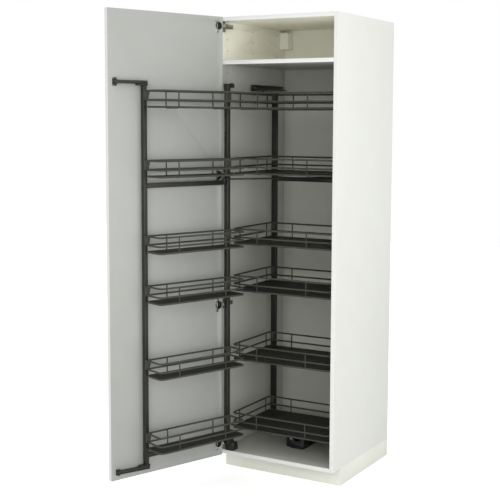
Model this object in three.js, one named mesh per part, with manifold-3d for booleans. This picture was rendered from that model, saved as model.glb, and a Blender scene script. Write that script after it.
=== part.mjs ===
// Pull-out larder unit: a tall cabinet whose open door carries a swinging frame of shallow baskets,
// with a second frame of deep baskets that slides forward inside the cabinet.
// Millimetres, +Z up, floor at z = 0, cabinet front facing -Y, width centred on x = 0.
// The modelled pose is door open. The door and the swinging frame are drawn shut and then turned out
// by the opening angle, so every shut position can be read straight from the numbers. All of it is
// drawn around the cabinet's own centre, and moved at the end so that the origin lies under the middle
// of the plinth's front board.
import * as THREE from 'three';
import { mergeVertices } from 'three/addons/utils/BufferGeometryUtils.js';
import Module from 'manifold-3d';

const wasm = await Module();
wasm.setup();

// ---------- cabinet ----------
const CABINET_WIDTH = 600;
const CABINET_DEPTH = 600;
const CARCASS_HEIGHT = 2000;
const PLINTH_HEIGHT = 80;
const PANEL = 18;
const BACK_PANEL = 3;
const BACK_REBATE = 9;
const PLINTH_BOARD = 16;
const PLINTH_SETBACK = 77;
const UPPER_COMPARTMENT = 174;
const PIN_HOLE_RADIUS = 2.5;
const PIN_HOLE_DEPTH = 12;
const PIN_HOLE_FRONT = 58;
const PIN_HOLE_MIDDLE = -14;
const PIN_HOLE_BACK = 86;
const PIN_HOLE_RISE = 45;
const PIN_HOLE_PITCH = 50;
const LEG_INSET_X = 60;
const LEG_INSET_FRONT = 150;
const LEG_INSET_BACK = 50;
const LEG_FOOT_RADIUS = 24;
const LEG_STEM_RADIUS = 15;
const LEG_HEAD_RADIUS = 34;
const COVER_SIZE = [46, 54, 80];
const COVER_DROP = 13;
const COVER_CHAMFER = 4;

const HALF_WIDTH = CABINET_WIDTH / 2;
const INNER_HALF = HALF_WIDTH - PANEL;
const FRONT = -CABINET_DEPTH / 2;
const BACK = CABINET_DEPTH / 2;
const BACK_FACE = BACK - BACK_PANEL;
const FLOOR_TOP = PLINTH_HEIGHT + PANEL;
const CABINET_TOP = PLINTH_HEIGHT + CARCASS_HEIGHT;
const SHELF_UNDERSIDE = CABINET_TOP - PANEL - UPPER_COMPARTMENT - PANEL;
const PIN_HOLE_COLUMNS = [FRONT + PIN_HOLE_FRONT, PIN_HOLE_MIDDLE, BACK - PIN_HOLE_BACK];
const PIN_HOLE_ROWS = [0, 1, 2].map((row) =>
  SHELF_UNDERSIDE + PANEL + PIN_HOLE_RISE + row * PIN_HOLE_PITCH);

// ---------- door and its hinges ----------
const OPEN_ANGLE = THREE.MathUtils.degToRad(110.45);
const DOOR_MARGIN = 1.5;
const DOOR_THICKNESS = 19;
const DOOR_EDGE_RADIUS = 2;
const DOOR_GAP = 5;
const HINGE_AXIS_INSET = 16;
const HINGE_AXIS_FORWARD = 26;
const DOOR_WIDTH = CABINET_WIDTH - 2 * DOOR_MARGIN;
const DOOR_HEIGHT = CARCASS_HEIGHT - 2 * DOOR_MARGIN;
const DOOR_UNDERSIDE = PLINTH_HEIGHT + DOOR_MARGIN;
const DOOR_PIVOT = [-HALF_WIDTH + HINGE_AXIS_INSET, FRONT - HINGE_AXIS_FORWARD];
const DOOR_HINGE_EDGE = -DOOR_WIDTH / 2;
const DOOR_INNER_FACE = FRONT - DOOR_GAP;
const TOP_HINGE_DROP = 42;
const FOOT_HINGE_RISE = 57;
const MIDDLE_HINGES = [1376, 784];
const HINGE_LEVELS = [CABINET_TOP - TOP_HINGE_DROP, ...MIDDLE_HINGES, PLINTH_HEIGHT + FOOT_HINGE_RISE];
const CUP_RADIUS = 17.2;
const CUP_WALL = 1;
const CUP_DEPTH = 12;
const CUP_BORE_CLEARANCE = 0.6;
const CUP_SETBACK = 22.5;
const FLANGE_THICKNESS = 2;
const FLANGE_HALF_HEIGHT = 31;
const FLANGE_START = 3.2;
const LINK_NOTCH_DEPTH = 5;
const ARM_REACH = 25.3;
const ARM_FRONT = FRONT;
const ARM_BACK = FRONT + 65;
const ARM_HALF_HEIGHT = 9.5;
const ARM_WALL = 1.8;
const ARM_PLATE = { front: 12, back: 36, halfHeight: 24, thickness: 2.5 };
const ARM_HOLLOW_END = 40;
const ARM_TAIL_START = 52;
const ARM_TAIL_THICKNESS = 12;
const LINK_OUTER_RADIUS = 36;
const LINK_INNER_RADIUS = 33.2;
const LINK_HOOK_RADIUS = 26.1;
const LINK_SPAN = [6, 46];
const LINK_HOOK_WIDTH = 4.5;
const LINK_HALF_HEIGHT = 6.5;

// ---------- swinging frame on the door side: "a" runs along it, "n" into the cabinet ----------
const PIVOT_FROM_WALL = 48;
const PIVOT_FROM_FRONT = 15;
const POST_FROM_PIVOT = [34, 12.4];
const FRAME_END_ROOM = 39;
const FRAME_FOOT_ROOM = 34;
const FRAME_HEAD_ROOM = 104;
const FRAME_PIVOT = [-INNER_HALF + PIVOT_FROM_WALL, FRONT + PIVOT_FROM_FRONT];
const FRAME_ORIGIN = [FRAME_PIVOT[0] + POST_FROM_PIVOT[0], FRAME_PIVOT[1] + POST_FROM_PIVOT[1]];
const FRAME_LENGTH = INNER_HALF - FRAME_ORIGIN[0] - FRAME_END_ROOM;
const REAR_POST = [18, 25];
const FRONT_POST = [18, 22];
const FRONT_POST_DROP = 2;
const POST_FOOT = FLOOR_TOP + FRAME_FOOT_ROOM;
const REAR_POST_TOP = SHELF_UNDERSIDE - FRAME_HEAD_ROOM;
const FRONT_POST_TOP = REAR_POST_TOP - FRONT_POST_DROP;
const SLOT_HEIGHT = 10;
const SLOT_WIDTH = 8;
const SLOT_PAIR_GAP = 28;
const PIVOT_PIN_RADIUS = 5;
const PIVOT_BORE_RADIUS = 5.6;
const PIVOT_BOSS_RADIUS = 13;
const ARM_RISE = 5;
const FOOT_ARM_HEIGHT = 26;
const HEAD_ARM_HEIGHT = 12;
const FOOT_ARM = [POST_FOOT + ARM_RISE, POST_FOOT + ARM_RISE + FOOT_ARM_HEIGHT];
const HEAD_ARM = [REAR_POST_TOP, REAR_POST_TOP + HEAD_ARM_HEIGHT];
const RUNNING_GAP = 1;
const CROSSBAR = 20;
const CROSSBAR_DEPTH = 12;
const MIDDLE_BAR_LEVEL = 1333;
const LOWER_BAR_LEVEL = POST_FOOT + 29;
const BRACKET_OFFSET = 9;
const BRACKET_WIDTH = 36;
const PIVOT_BLOCK = { x: [FRAME_PIVOT[0] - 21, FRAME_PIVOT[0] + 19],
  y: [FRAME_PIVOT[1] - PIVOT_FROM_FRONT, FRAME_PIVOT[1] + 37], top: FOOT_ARM[0] - RUNNING_GAP };

// ---------- guide arms between the door and the swinging frame ----------
const GUIDE_PIVOT = [DOOR_WIDTH - 30, 11];
const GUIDE_OVERRUN = 10;
const GUIDE_HEIGHT = 14;
const GUIDE_HALF_WIDTH = 8;
const GUIDE_SLOT_HALF = 2.6;
const SHOE_THICKNESS = 6.5;
const SHOE_GAP = 0.5;
const UPPER_GUIDE_LEVEL = FRONT_POST_TOP + SHOE_THICKNESS + SHOE_GAP;
const LOWER_GUIDE_LEVEL = POST_FOOT - SHOE_THICKNESS - SHOE_GAP - GUIDE_HEIGHT;
const BRACKET_PLATE = { before: 12, after: 7, thickness: 2.5 };
const UPPER_PLATE_RISE = 10;
const LOWER_PLATE_RISE = 4.5;
const SHOE_SPAN = [-16, 36];

// ---------- baskets ----------
const TOP_BASKET_DROP = 24;
const LOWER_BASKETS = [1450, 1130, 915, 594, 273];
const BASKET_TOPS = [REAR_POST_TOP - TOP_BASKET_DROP, ...LOWER_BASKETS];
const RAIL_DROPS = [0, 38, 67];
const SLOT_PAIRS = [[0, 103], [0, 210], [2, 124], [3, 120], [3, 222], [4, 114]];
const WIRE = 8;
const WIRE_BEVEL = 0.9;
const WIRE_CORNER = 14;
const STAY = 6;
const TRAY_THICKNESS = 2;
const GUSSET_HEIGHT = 40;
const GUSSET_TONGUE = 10;
const DOOR_BASKET_GAP = 0.5;
const DOOR_BASKET_DEPTH = 107;
const DOOR_STAY_INSET = 98;
const INNER_POST_SETBACK = 226;
const INNER_BASKET_GAP = 0.3;
const INNER_STAY_INSET = [123, 50];
const INNER_POST = [28, 16];
const INNER_POST_FRONT = BACK - INNER_POST_SETBACK;
const DOOR_BASKET = { low: [-4, REAR_POST[1] / 2 + WIRE / 2 + DOOR_BASKET_GAP],
  high: [FRAME_LENGTH + 5, REAR_POST[1] / 2 + WIRE / 2 + DOOR_BASKET_GAP + DOOR_BASKET_DEPTH],
  staysAlongX: [], staysAlongY: [DOOR_STAY_INSET, FRAME_LENGTH + 1 - DOOR_STAY_INSET] };
const INNER_BASKET = { low: [-INNER_HALF + 52, FRONT + 23],
  high: [INNER_HALF - 16, INNER_POST_FRONT - WIRE / 2 - INNER_BASKET_GAP] };
INNER_BASKET.staysAlongX = [INNER_BASKET.low[1] + INNER_STAY_INSET[1],
  INNER_BASKET.high[1] - INNER_STAY_INSET[1]];
INNER_BASKET.staysAlongY = [INNER_BASKET.low[0] + INNER_STAY_INSET[0],
  INNER_BASKET.high[0] - INNER_STAY_INSET[0]];

// ---------- sliding frame inside the cabinet ----------
const INNER_POST_TOP = REAR_POST_TOP - 19;
const INNER_BEAM = 20;
const INNER_FOOT = FLOOR_TOP + 48;
const SLIDE_CENTRE_X = (INNER_BASKET.low[0] + INNER_BASKET.high[0]) / 2;
const SLIDE_HALF_WIDTH = 38;
const SLIDE_HEIGHT = 14;
const SLIDE_WALL = 3;
const SLIDE_LIP = 8;
const CARRIAGE_RANGE = [INNER_POST_FRONT - 129, INNER_POST_FRONT + 38];
const SLIDE_RANGE = [CARRIAGE_RANGE[0] - 2, BACK_FACE - 9];
const SLIDE_CLEARANCE = 0.3;
const ROLLER_CLEARANCE = 0.3;
const ROLLER_LEAD = 22;
const HOUSING_DEPTH = 62;
const HOUSING_LEFT = 61;
const HOUSING_RIGHT = 39;
const HOUSING_CHAMFER = 10;
const HOUSING_EAR = 33;
const HOUSING_HEIGHT = 52;
const TOE_HEIGHT = 12;
const TOE_DEPTH = 7;
const DISH_RADIUS = 20;
const GUIDE_CHANNEL = { y: [INNER_POST_FRONT - 141, BACK - 59], depth: 23, top: INNER_POST_TOP + 40,
  frontDrop: 28, backDrop: 19, wall: 3 };
const GUIDE_FLARE = 41;
const GUIDE_TAIL = 36;

// ---------- drive rod ----------
const ROD_CRANK = [36.15, 25];
const ROD_ANCHOR_X = INNER_HALF - 132;
const ROD_RADIUS = 4;
const ROD_LEVEL = 1359;
const ROD_EYE_RADIUS = 9;

const COLOURS = {
  board: [0xe9e9e2, 0.45, 0],
  innerBoard: [0xd9d8cc, 0.5, 0],
  door: [0xc4c6c0, 0.4, 0],
  steel: [0xc9ccd0, 0.28, 0.9],
  frame: [0x45453f, 0.5, 0.4],
  innerFrame: [0x33332f, 0.5, 0.4],
  black: [0x171716, 0.6, 0],
  leg: [0x2c2c2c, 0.6, 0],
  cover: [0xf1f1ee, 0.5, 0],
};

// ---------- solid tools ----------
function solid(geometry) {
  const plain = geometry.clone();
  plain.deleteAttribute('normal');
  plain.deleteAttribute('uv');
  const merged = mergeVertices(plain, 1e-4);
  const vertProperties = new Float32Array(merged.attributes.position.array);
  const triVerts = new Uint32Array(merged.index.array);
  return new wasm.Manifold(new wasm.Mesh({ numProp: 3, vertProperties, triVerts }));
}

function geometryOf(body) {
  const mesh = body.getMesh();
  const geometry = new THREE.BufferGeometry();
  geometry.setAttribute('position', new THREE.BufferAttribute(new Float32Array(mesh.vertProperties), 3));
  geometry.setIndex(new THREE.BufferAttribute(new Uint32Array(mesh.triVerts), 1));
  return geometry;
}

function join(...geometries) {
  return geometryOf(geometries.map(solid).reduce((sum, body) => sum.add(body)));
}

function cut(geometry, ...tools) {
  return geometryOf(tools.map(solid).reduce((left, tool) => left.subtract(tool), solid(geometry)));
}

function boxBetween(low, high) {
  const geometry = new THREE.BoxGeometry(high[0] - low[0], high[1] - low[1], high[2] - low[2]);
  return geometry.translate((low[0] + high[0]) / 2, (low[1] + high[1]) / 2, (low[2] + high[2]) / 2);
}

function disc(x, y, low, high, radius, sides = 16) {
  const geometry = new THREE.CylinderGeometry(radius, radius, high - low, sides);
  return geometry.rotateX(Math.PI / 2).translate(x, y, (low + high) / 2);
}

// A plan outline (x, y pairs) raised from one height to another.
function raise(points, low, high) {
  const shape = new THREE.Shape(points.map(([x, y]) => new THREE.Vector2(x, y)));
  const geometry = new THREE.ExtrudeGeometry(shape, { depth: high - low, bevelEnabled: false });
  return geometry.translate(0, 0, low);
}

// An outline drawn in (x, z) that runs along Y.
function runAlongY(points, low, high) {
  return raise(points, 0, high - low).rotateX(Math.PI / 2).translate(0, high, 0);
}

function rectangle(centre, size) {
  const [x, y] = [size[0] / 2, size[1] / 2];
  return [[centre[0] - x, centre[1] - y], [centre[0] + x, centre[1] - y],
    [centre[0] + x, centre[1] + y], [centre[0] - x, centre[1] + y]];
}

function arc(centre, radius, from, to, steps) {
  return Array.from({ length: steps + 1 }, (_, i) => {
    const angle = THREE.MathUtils.degToRad(from + ((to - from) * i) / steps);
    return [centre[0] + radius * Math.cos(angle), centre[1] + radius * Math.sin(angle)];
  });
}

// A straight strip with round ends.
function strip(start, end, halfWidth, steps = 6) {
  const heading = THREE.MathUtils.radToDeg(Math.atan2(end[1] - start[1], end[0] - start[0]));
  return [...arc(end, halfWidth, heading - 90, heading + 90, steps),
    ...arc(start, halfWidth, heading + 90, heading + 270, steps)];
}

// ---------- moving places ----------
function turnedAbout(geometry, pivot, angle) {
  return geometry.translate(-pivot[0], -pivot[1], 0).rotateZ(angle).translate(pivot[0], pivot[1], 0);
}

// Door-side pieces are drawn shut; these two swing them out.
function openDoor(geometry) {
  return turnedAbout(geometry, DOOR_PIVOT, -OPEN_ANGLE);
}

function openFrame(geometry) {
  return turnedAbout(geometry.translate(FRAME_ORIGIN[0], FRAME_ORIGIN[1], 0), FRAME_PIVOT, -OPEN_ANGLE);
}

function openFramePoint(a, n) {
  const point = new THREE.Vector2(FRAME_ORIGIN[0] + a, FRAME_ORIGIN[1] + n);
  point.rotateAround(new THREE.Vector2(...FRAME_PIVOT), -OPEN_ANGLE);
  return [point.x, point.y];
}

// Where a point of the open frame lies once it is turned back with the door.
function shutWithDoor([x, y]) {
  const point = new THREE.Vector2(x, y).rotateAround(new THREE.Vector2(...DOOR_PIVOT), OPEN_ANGLE);
  return [point.x, point.y];
}

// (s, n): s from the hinge edge along the shut door, n from its inner face into the cabinet.
function onDoor(s, n) {
  return [DOOR_HINGE_EDGE + s, DOOR_INNER_FACE + n];
}

// ---------- cabinet pieces ----------
function sidePanel(side) {
  const panel = boxBetween([-HALF_WIDTH, FRONT, PLINTH_HEIGHT], [-INNER_HALF, BACK, CABINET_TOP]);
  const rebate = boxBetween([-INNER_HALF - BACK_REBATE, BACK_FACE, PLINTH_HEIGHT - 1],
    [-INNER_HALF + 1, BACK + 1, CABINET_TOP + 1]);
  const holes = PIN_HOLE_COLUMNS.flatMap((y) => PIN_HOLE_ROWS.map((z) => {
    const hole = new THREE.CylinderGeometry(PIN_HOLE_RADIUS, PIN_HOLE_RADIUS, PIN_HOLE_DEPTH * 2, 6);
    return hole.rotateZ(Math.PI / 2).translate(-INNER_HALF, y, z);
  }));
  const geometry = cut(panel, rebate, ...holes);
  return side < 0 ? geometry : mirrored(geometry);
}

function shelfBoard(underside) {
  return boxBetween([-INNER_HALF, FRONT, underside], [INNER_HALF, BACK_FACE, underside + PANEL]);
}

function backPanel() {
  const half = INNER_HALF + BACK_REBATE;
  return boxBetween([-half, BACK_FACE, PLINTH_HEIGHT], [half, BACK, CABINET_TOP]);
}

function plinthFront() {
  const face = FRONT + PLINTH_SETBACK;
  return boxBetween([-HALF_WIDTH, face, 0], [HALF_WIDTH, face + PLINTH_BOARD, PLINTH_HEIGHT]);
}

function plinthSide(side) {
  const [outer, inner] = [side * HALF_WIDTH, side * (HALF_WIDTH - PLINTH_BOARD)];
  return boxBetween([Math.min(outer, inner), FRONT + PLINTH_SETBACK + PLINTH_BOARD, 0],
    [Math.max(outer, inner), BACK, PLINTH_HEIGHT]);
}

function leg(x, y) {
  const [foot, stem, head, top] = [LEG_FOOT_RADIUS, LEG_STEM_RADIUS, LEG_HEAD_RADIUS, PLINTH_HEIGHT];
  const profile = [[0, 0], [foot, 0], [foot, 6], [stem + 2, 14], [stem, 14], [stem, top - 12],
    [head, top - 6], [head, top], [0, top]];
  const geometry = new THREE.LatheGeometry(profile.map(([r, z]) => new THREE.Vector2(r, z)), 10);
  return geometry.rotateX(Math.PI / 2).translate(x, y, 0);
}

function suspensionCover(side) {
  const [width, depth, height] = COVER_SIZE;
  const [wall, c] = [INNER_HALF, COVER_CHAMFER];
  const outline = [[-wall, BACK_FACE - depth], [-wall + width - c, BACK_FACE - depth],
    [-wall + width, BACK_FACE - depth + c], [-wall + width, BACK_FACE], [-wall, BACK_FACE]];
  const top = CABINET_TOP - PANEL - COVER_DROP;
  const geometry = raise(outline, top - height, top);
  return side < 0 ? geometry : mirrored(geometry);
}

// Mirror left to right and turn the triangles back so that they face outward.
function mirrored(geometry) {
  return geometryOf(solid(geometry).mirror([1, 0, 0]));
}

// ---------- hinges ----------
function hingeArm(level) {
  const wall = -INNER_HALF;
  const [low, high] = [level - ARM_HALF_HEIGHT, level + ARM_HALF_HEIGHT];
  const { front, back, halfHeight, thickness } = ARM_PLATE;
  const mountPlate = boxBetween([wall, FRONT + front, level - halfHeight],
    [wall + thickness, FRONT + back, level + halfHeight]);
  const body = boxBetween([wall, ARM_FRONT, low], [wall + ARM_REACH, ARM_BACK, high]);
  const hollow = boxBetween([wall + thickness, ARM_FRONT - 1, low + ARM_WALL],
    [wall + ARM_REACH - ARM_WALL, FRONT + ARM_HOLLOW_END, high - ARM_WALL]);
  const tail = boxBetween([wall + ARM_TAIL_THICKNESS, FRONT + ARM_TAIL_START, low - 1],
    [wall + ARM_REACH + 1, ARM_BACK + 1, high + 1]);
  return cut(join(mountPlate, body), hollow, tail);
}

// A curved strap about the door's turning axis; its hook reaches over the door's edge into the cup.
function hingeLink(level) {
  const [from, to] = LINK_SPAN;
  const outline = [...arc(DOOR_PIVOT, LINK_OUTER_RADIUS, from, to, 5),
    ...arc(DOOR_PIVOT, LINK_INNER_RADIUS, to, from + LINK_HOOK_WIDTH, 4),
    ...arc(DOOR_PIVOT, LINK_HOOK_RADIUS, from + LINK_HOOK_WIDTH, from, 1)];
  return raise(outline, level - LINK_HALF_HEIGHT, level + LINK_HALF_HEIGHT);
}

// A disc whose axis runs through the door.
function doorDisc(level, low, high, radius, sides) {
  const [x, y] = onDoor(CUP_SETBACK, 0);
  const geometry = new THREE.CylinderGeometry(radius, radius, high - low, sides);
  return geometry.translate(x, y + (low + high) / 2, level);
}

// The far side of the cup is notched, because the link dips into it when the door is shut.
function hingeCup(level) {
  const edge = onDoor(FLANGE_START, 0);
  const far = onDoor(2 * CUP_SETBACK - FLANGE_START, 0);
  const flange = boxBetween([edge[0] + 5, edge[1], level - FLANGE_HALF_HEIGHT],
    [far[0], edge[1] + FLANGE_THICKNESS, level + FLANGE_HALF_HEIGHT]);
  const lip = boxBetween([edge[0], edge[1], level - 10],
    [edge[0] + 6, edge[1] + FLANGE_THICKNESS, level + 10]);
  const shell = doorDisc(level, -CUP_DEPTH, FLANGE_THICKNESS / 2, CUP_RADIUS, 12);
  const bowl = doorDisc(level, -CUP_DEPTH + CUP_WALL, FLANGE_THICKNESS + 1, CUP_RADIUS - CUP_WALL, 12);
  const notchHalf = LINK_HALF_HEIGHT + 1;
  const notch = boxBetween([far[0] - CUP_RADIUS, far[1] - LINK_NOTCH_DEPTH, level - notchHalf],
    [far[0] + 1, far[1] + FLANGE_THICKNESS + 1, level + notchHalf]);
  return openDoor(cut(join(flange, lip, shell), bowl, notch));
}

function doorPanel() {
  const [x0, x1] = [DOOR_HINGE_EDGE, DOOR_HINGE_EDGE + DOOR_WIDTH];
  const [y0, y1] = [DOOR_INNER_FACE - DOOR_THICKNESS, DOOR_INNER_FACE];
  const r = DOOR_EDGE_RADIUS;
  const outline = [...arc([x0 + r, y0 + r], r, 180, 270, 2), ...arc([x1 - r, y0 + r], r, 270, 360, 2),
    ...arc([x1 - r, y1 - r], r, 0, 90, 2), ...arc([x0 + r, y1 - r], r, 90, 180, 2)];
  const slab = raise(outline, DOOR_UNDERSIDE, DOOR_UNDERSIDE + DOOR_HEIGHT);
  const bores = HINGE_LEVELS.map((level) =>
    doorDisc(level, -CUP_DEPTH, 1, CUP_RADIUS + CUP_BORE_CLEARANCE, 16));
  return openDoor(cut(slab, ...bores));
}

// ---------- guide arms between door and frame ----------
function armBracket(level, rise) {
  const [x, y] = onDoor(GUIDE_PIVOT[0], 0);
  const n = GUIDE_PIVOT[1];
  const [low, high] = [level, level + GUIDE_HEIGHT];
  const { before, after, thickness } = BRACKET_PLATE;
  const plate = boxBetween([x - before, y, low - rise], [x + after, y + thickness, high + rise]);
  const ears = [low - 4.5, high + RUNNING_GAP].map((z) => raise([[x - 8, y], [x + 8, y],
    ...arc([x, y + n], 8, 0, 180, 6)], z, z + 3.5));
  const pin = disc(x, y + n, low - 2, high + 2, 3.4, 12);
  return openDoor(join(plate, ...ears, pin));
}

function guideArm(level) {
  const start = onDoor(...GUIDE_PIVOT);
  const target = shutWithDoor(openFramePoint(FRAME_LENGTH, 0));
  const length = Math.hypot(target[0] - start[0], target[1] - start[1]);
  const along = (distance) => [start[0] + ((target[0] - start[0]) * distance) / length,
    start[1] + ((target[1] - start[1]) * distance) / length];
  const end = along(length + GUIDE_OVERRUN);
  const bar = raise(strip(start, end, GUIDE_HALF_WIDTH), level, level + GUIDE_HEIGHT);
  const slot = raise(strip(along(26), along(length), GUIDE_SLOT_HALF, 3),
    level - 1, level + GUIDE_HEIGHT + 1);
  const eye = disc(start[0], start[1], level - 1, level + GUIDE_HEIGHT + 1, 4, 12);
  return openDoor(cut(bar, slot, eye));
}

// ---------- swinging frame ----------
function pivotArm(levels) {
  const pivot = [FRAME_PIVOT[0] - FRAME_ORIGIN[0], FRAME_PIVOT[1] - FRAME_ORIGIN[1]];
  const boss = arc(pivot, PIVOT_BOSS_RADIUS, 90, 270, 6);
  return raise([...boss, ...rectangle([0, 0], REAR_POST)], ...levels);
}

// Pairs of slots for hanging the baskets lie below four of them: which basket, and how far down.
function rearPost() {
  const post = raise(rectangle([0, 0], REAR_POST), POST_FOOT + 5, REAR_POST_TOP + 12);
  const pivot = [FRAME_PIVOT[0] - FRAME_ORIGIN[0], FRAME_PIVOT[1] - FRAME_ORIGIN[1]];
  const bores = [FOOT_ARM, HEAD_ARM].map(([low, high]) =>
    disc(pivot[0], pivot[1], low - 1, high + 1, PIVOT_BORE_RADIUS));
  const slots = SLOT_PAIRS.flatMap(([level, drop]) => [0, SLOT_PAIR_GAP].map((rise) => {
    const low = BASKET_TOPS[level] - drop + rise;
    return boxBetween([-REAR_POST[0], -SLOT_WIDTH / 2, low],
      [REAR_POST[0], SLOT_WIDTH / 2, low + SLOT_HEIGHT]);
  }));
  return openFrame(cut(join(post, pivotArm(FOOT_ARM), pivotArm(HEAD_ARM)), ...bores, ...slots));
}

function frontPost() {
  const post = raise(rectangle([FRAME_LENGTH, 0], FRONT_POST), POST_FOOT, FRONT_POST_TOP);
  const shoes = [POST_FOOT - SHOE_THICKNESS, FRONT_POST_TOP].map((low) => boxBetween(
    [FRAME_LENGTH + SHOE_SPAN[0], -FRONT_POST[1] / 2 - 1, low],
    [FRAME_LENGTH + SHOE_SPAN[1], FRONT_POST[1] / 2 + 1, low + SHOE_THICKNESS]));
  return openFrame(join(post, ...shoes));
}

function frameCrossbar(level) {
  return boxBetween([REAR_POST[0] / 2, -CROSSBAR_DEPTH / 2, level],
    [FRAME_LENGTH - FRONT_POST[0] / 2, CROSSBAR_DEPTH / 2, level + CROSSBAR]);
}

// The middle bar also carries the crank plate that pushes the drive rod.
function middleCrossbar() {
  const [a, n] = ROD_CRANK;
  const top = ROD_LEVEL - ROD_RADIUS - RUNNING_GAP;
  const plate = raise([[a - 14, 0], [a + 14, 0], ...arc([a, n], 9, 0, 180, 6)], top - 10, top - 5);
  const pin = disc(a, n, top - 6, ROD_LEVEL + ROD_RADIUS + 3, 3.5, 12);
  return openFrame(join(frameCrossbar(MIDDLE_BAR_LEVEL), plate, pin));
}

function pivotBlock() {
  const { x, y, top } = PIVOT_BLOCK;
  const c = 9;
  const outline = [[x[0], y[0]], [x[1] - c, y[0]], [x[1], y[0] + c], [x[1], y[1] - c],
    [x[1] - c, y[1]], [x[0], y[1]]];
  const base = raise(outline, FLOOR_TOP, top);
  const step = boxBetween([x[0] - 1, y[1] - 14, top - 16], [x[1] + 1, y[1] + 1, top + 1]);
  const pin = disc(...FRAME_PIVOT, top - 4, FOOT_ARM[1] - 2, PIVOT_PIN_RADIUS);
  return join(cut(base, step), pin);
}

function pivotBracketTop() {
  const [x, y] = FRAME_PIVOT;
  const top = HEAD_ARM[1] + RUNNING_GAP;
  const [front, back] = [y + BRACKET_OFFSET, y + BRACKET_OFFSET + BRACKET_WIDTH];
  const wallPlate = boxBetween([-INNER_HALF, front, top - 22], [-INNER_HALF + 3, back, top + 5]);
  const tongue = raise([[-INNER_HALF, front], ...arc([x, y], PIVOT_BOSS_RADIUS, -110, 70, 6),
    [-INNER_HALF, back]], top, top + 5);
  const pin = disc(x, y, HEAD_ARM[0] + 2, top + 1, PIVOT_PIN_RADIUS);
  return join(wallPlate, tongue, pin);
}

// ---------- baskets ----------
// One level of a basket's guard rail: a closed ring of bevelled bar with cut corners.
function railRing(low, high, level) {
  const outline = (grow) => {
    const c = WIRE_CORNER + grow * 0.6;
    const [x0, y0, x1, y1] = [low[0] - grow, low[1] - grow, high[0] + grow, high[1] + grow];
    return [[x0 + c, y0], [x1 - c, y0], [x1, y0 + c], [x1, y1 - c],
      [x1 - c, y1], [x0 + c, y1], [x0, y1 - c], [x0, y0 + c]].map(([x, y]) => new THREE.Vector2(x, y));
  };
  const half = WIRE / 2 - WIRE_BEVEL;
  const shape = new THREE.Shape(outline(half));
  shape.holes.push(new THREE.Path(outline(-half)));
  const ring = new THREE.ExtrudeGeometry(shape, { depth: 2 * half, bevelEnabled: true,
    bevelThickness: WIRE_BEVEL, bevelSize: WIRE_BEVEL, bevelSegments: 1 });
  return ring.translate(0, 0, level - half);
}

// A stay runs up one side of the basket, under the tray and up the other side.
function stay(span, top, bottom) {
  const h = STAY / 2;
  const [from, to] = span;
  const outline = [[from - h, top], [from - h, bottom], [to + h, bottom], [to + h, top],
    [to - h, top], [to - h, bottom + STAY], [from + h, bottom + STAY], [from + h, top]];
  return runAlongY(outline, -h, h);
}

function basket(spec, top) {
  const { low, high } = spec;
  const levels = RAIL_DROPS.map((drop) => top - drop);
  const floor = levels[2];
  const stayFoot = floor - TRAY_THICKNESS / 2 - STAY + 0.5;
  const rings = levels.map((level) => railRing(low, high, level));
  const c = WIRE_CORNER;
  const tray = raise([[low[0] + c, low[1]], [high[0] - c, low[1]], [high[0], low[1] + c],
    [high[0], high[1] - c], [high[0] - c, high[1]], [low[0] + c, high[1]],
    [low[0], high[1] - c], [low[0], low[1] + c]], floor - TRAY_THICKNESS / 2, floor + TRAY_THICKNESS / 2);
  const across = spec.staysAlongY.map((x) =>
    stay([low[1], high[1]], top, stayFoot).rotateZ(Math.PI / 2).translate(x, 0, 0));
  const along = spec.staysAlongX.map((y) => stay([low[0], high[0]], top, stayFoot).translate(0, y, 0));
  return [...rings, tray, ...across, ...along];
}

// A gusset plate welds the back rails to a post: as wide as the post plus a tongue at the top that
// tapers away downwards, towards the middle of the frame.
function gusset(a, halfWidth, inward, face, top) {
  const [outer, inner] = [a - inward * halfWidth, a + inward * halfWidth];
  const tip = inner + inward * GUSSET_TONGUE;
  const outline = [[outer, top - GUSSET_HEIGHT], [inner, top - GUSSET_HEIGHT], [tip, top - 4],
    [tip, top + 2], [outer, top + 2]];
  return runAlongY(inward < 0 ? outline.reverse() : outline, face, DOOR_BASKET.low[1]);
}

function doorBasket(top) {
  const rear = gusset(0, REAR_POST[0] / 2, 1, REAR_POST[1] / 2, top);
  const front = gusset(FRAME_LENGTH, FRONT_POST[0] / 2, -1, FRONT_POST[1] / 2, top);
  return openFrame(join(...basket(DOOR_BASKET, top), rear, front));
}

function innerBasket(top) {
  const hooks = innerPostCentres().map((x) => boxBetween([x - 9, INNER_BASKET.high[1], top - 30],
    [x + 9, INNER_POST_FRONT, top + 2]));
  return join(...basket(INNER_BASKET, top), ...hooks);
}

// ---------- sliding frame ----------
function innerPostCentres() {
  const half = INNER_POST[0] / 2;
  return [INNER_BASKET.low[0] + half, INNER_BASKET.high[0] - half];
}

function innerPost(x) {
  const foot = INNER_FOOT + INNER_BEAM;
  return boxBetween([x - INNER_POST[0] / 2, INNER_POST_FRONT, foot],
    [x + INNER_POST[0] / 2, INNER_POST_FRONT + INNER_POST[1], INNER_POST_TOP]);
}

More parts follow.
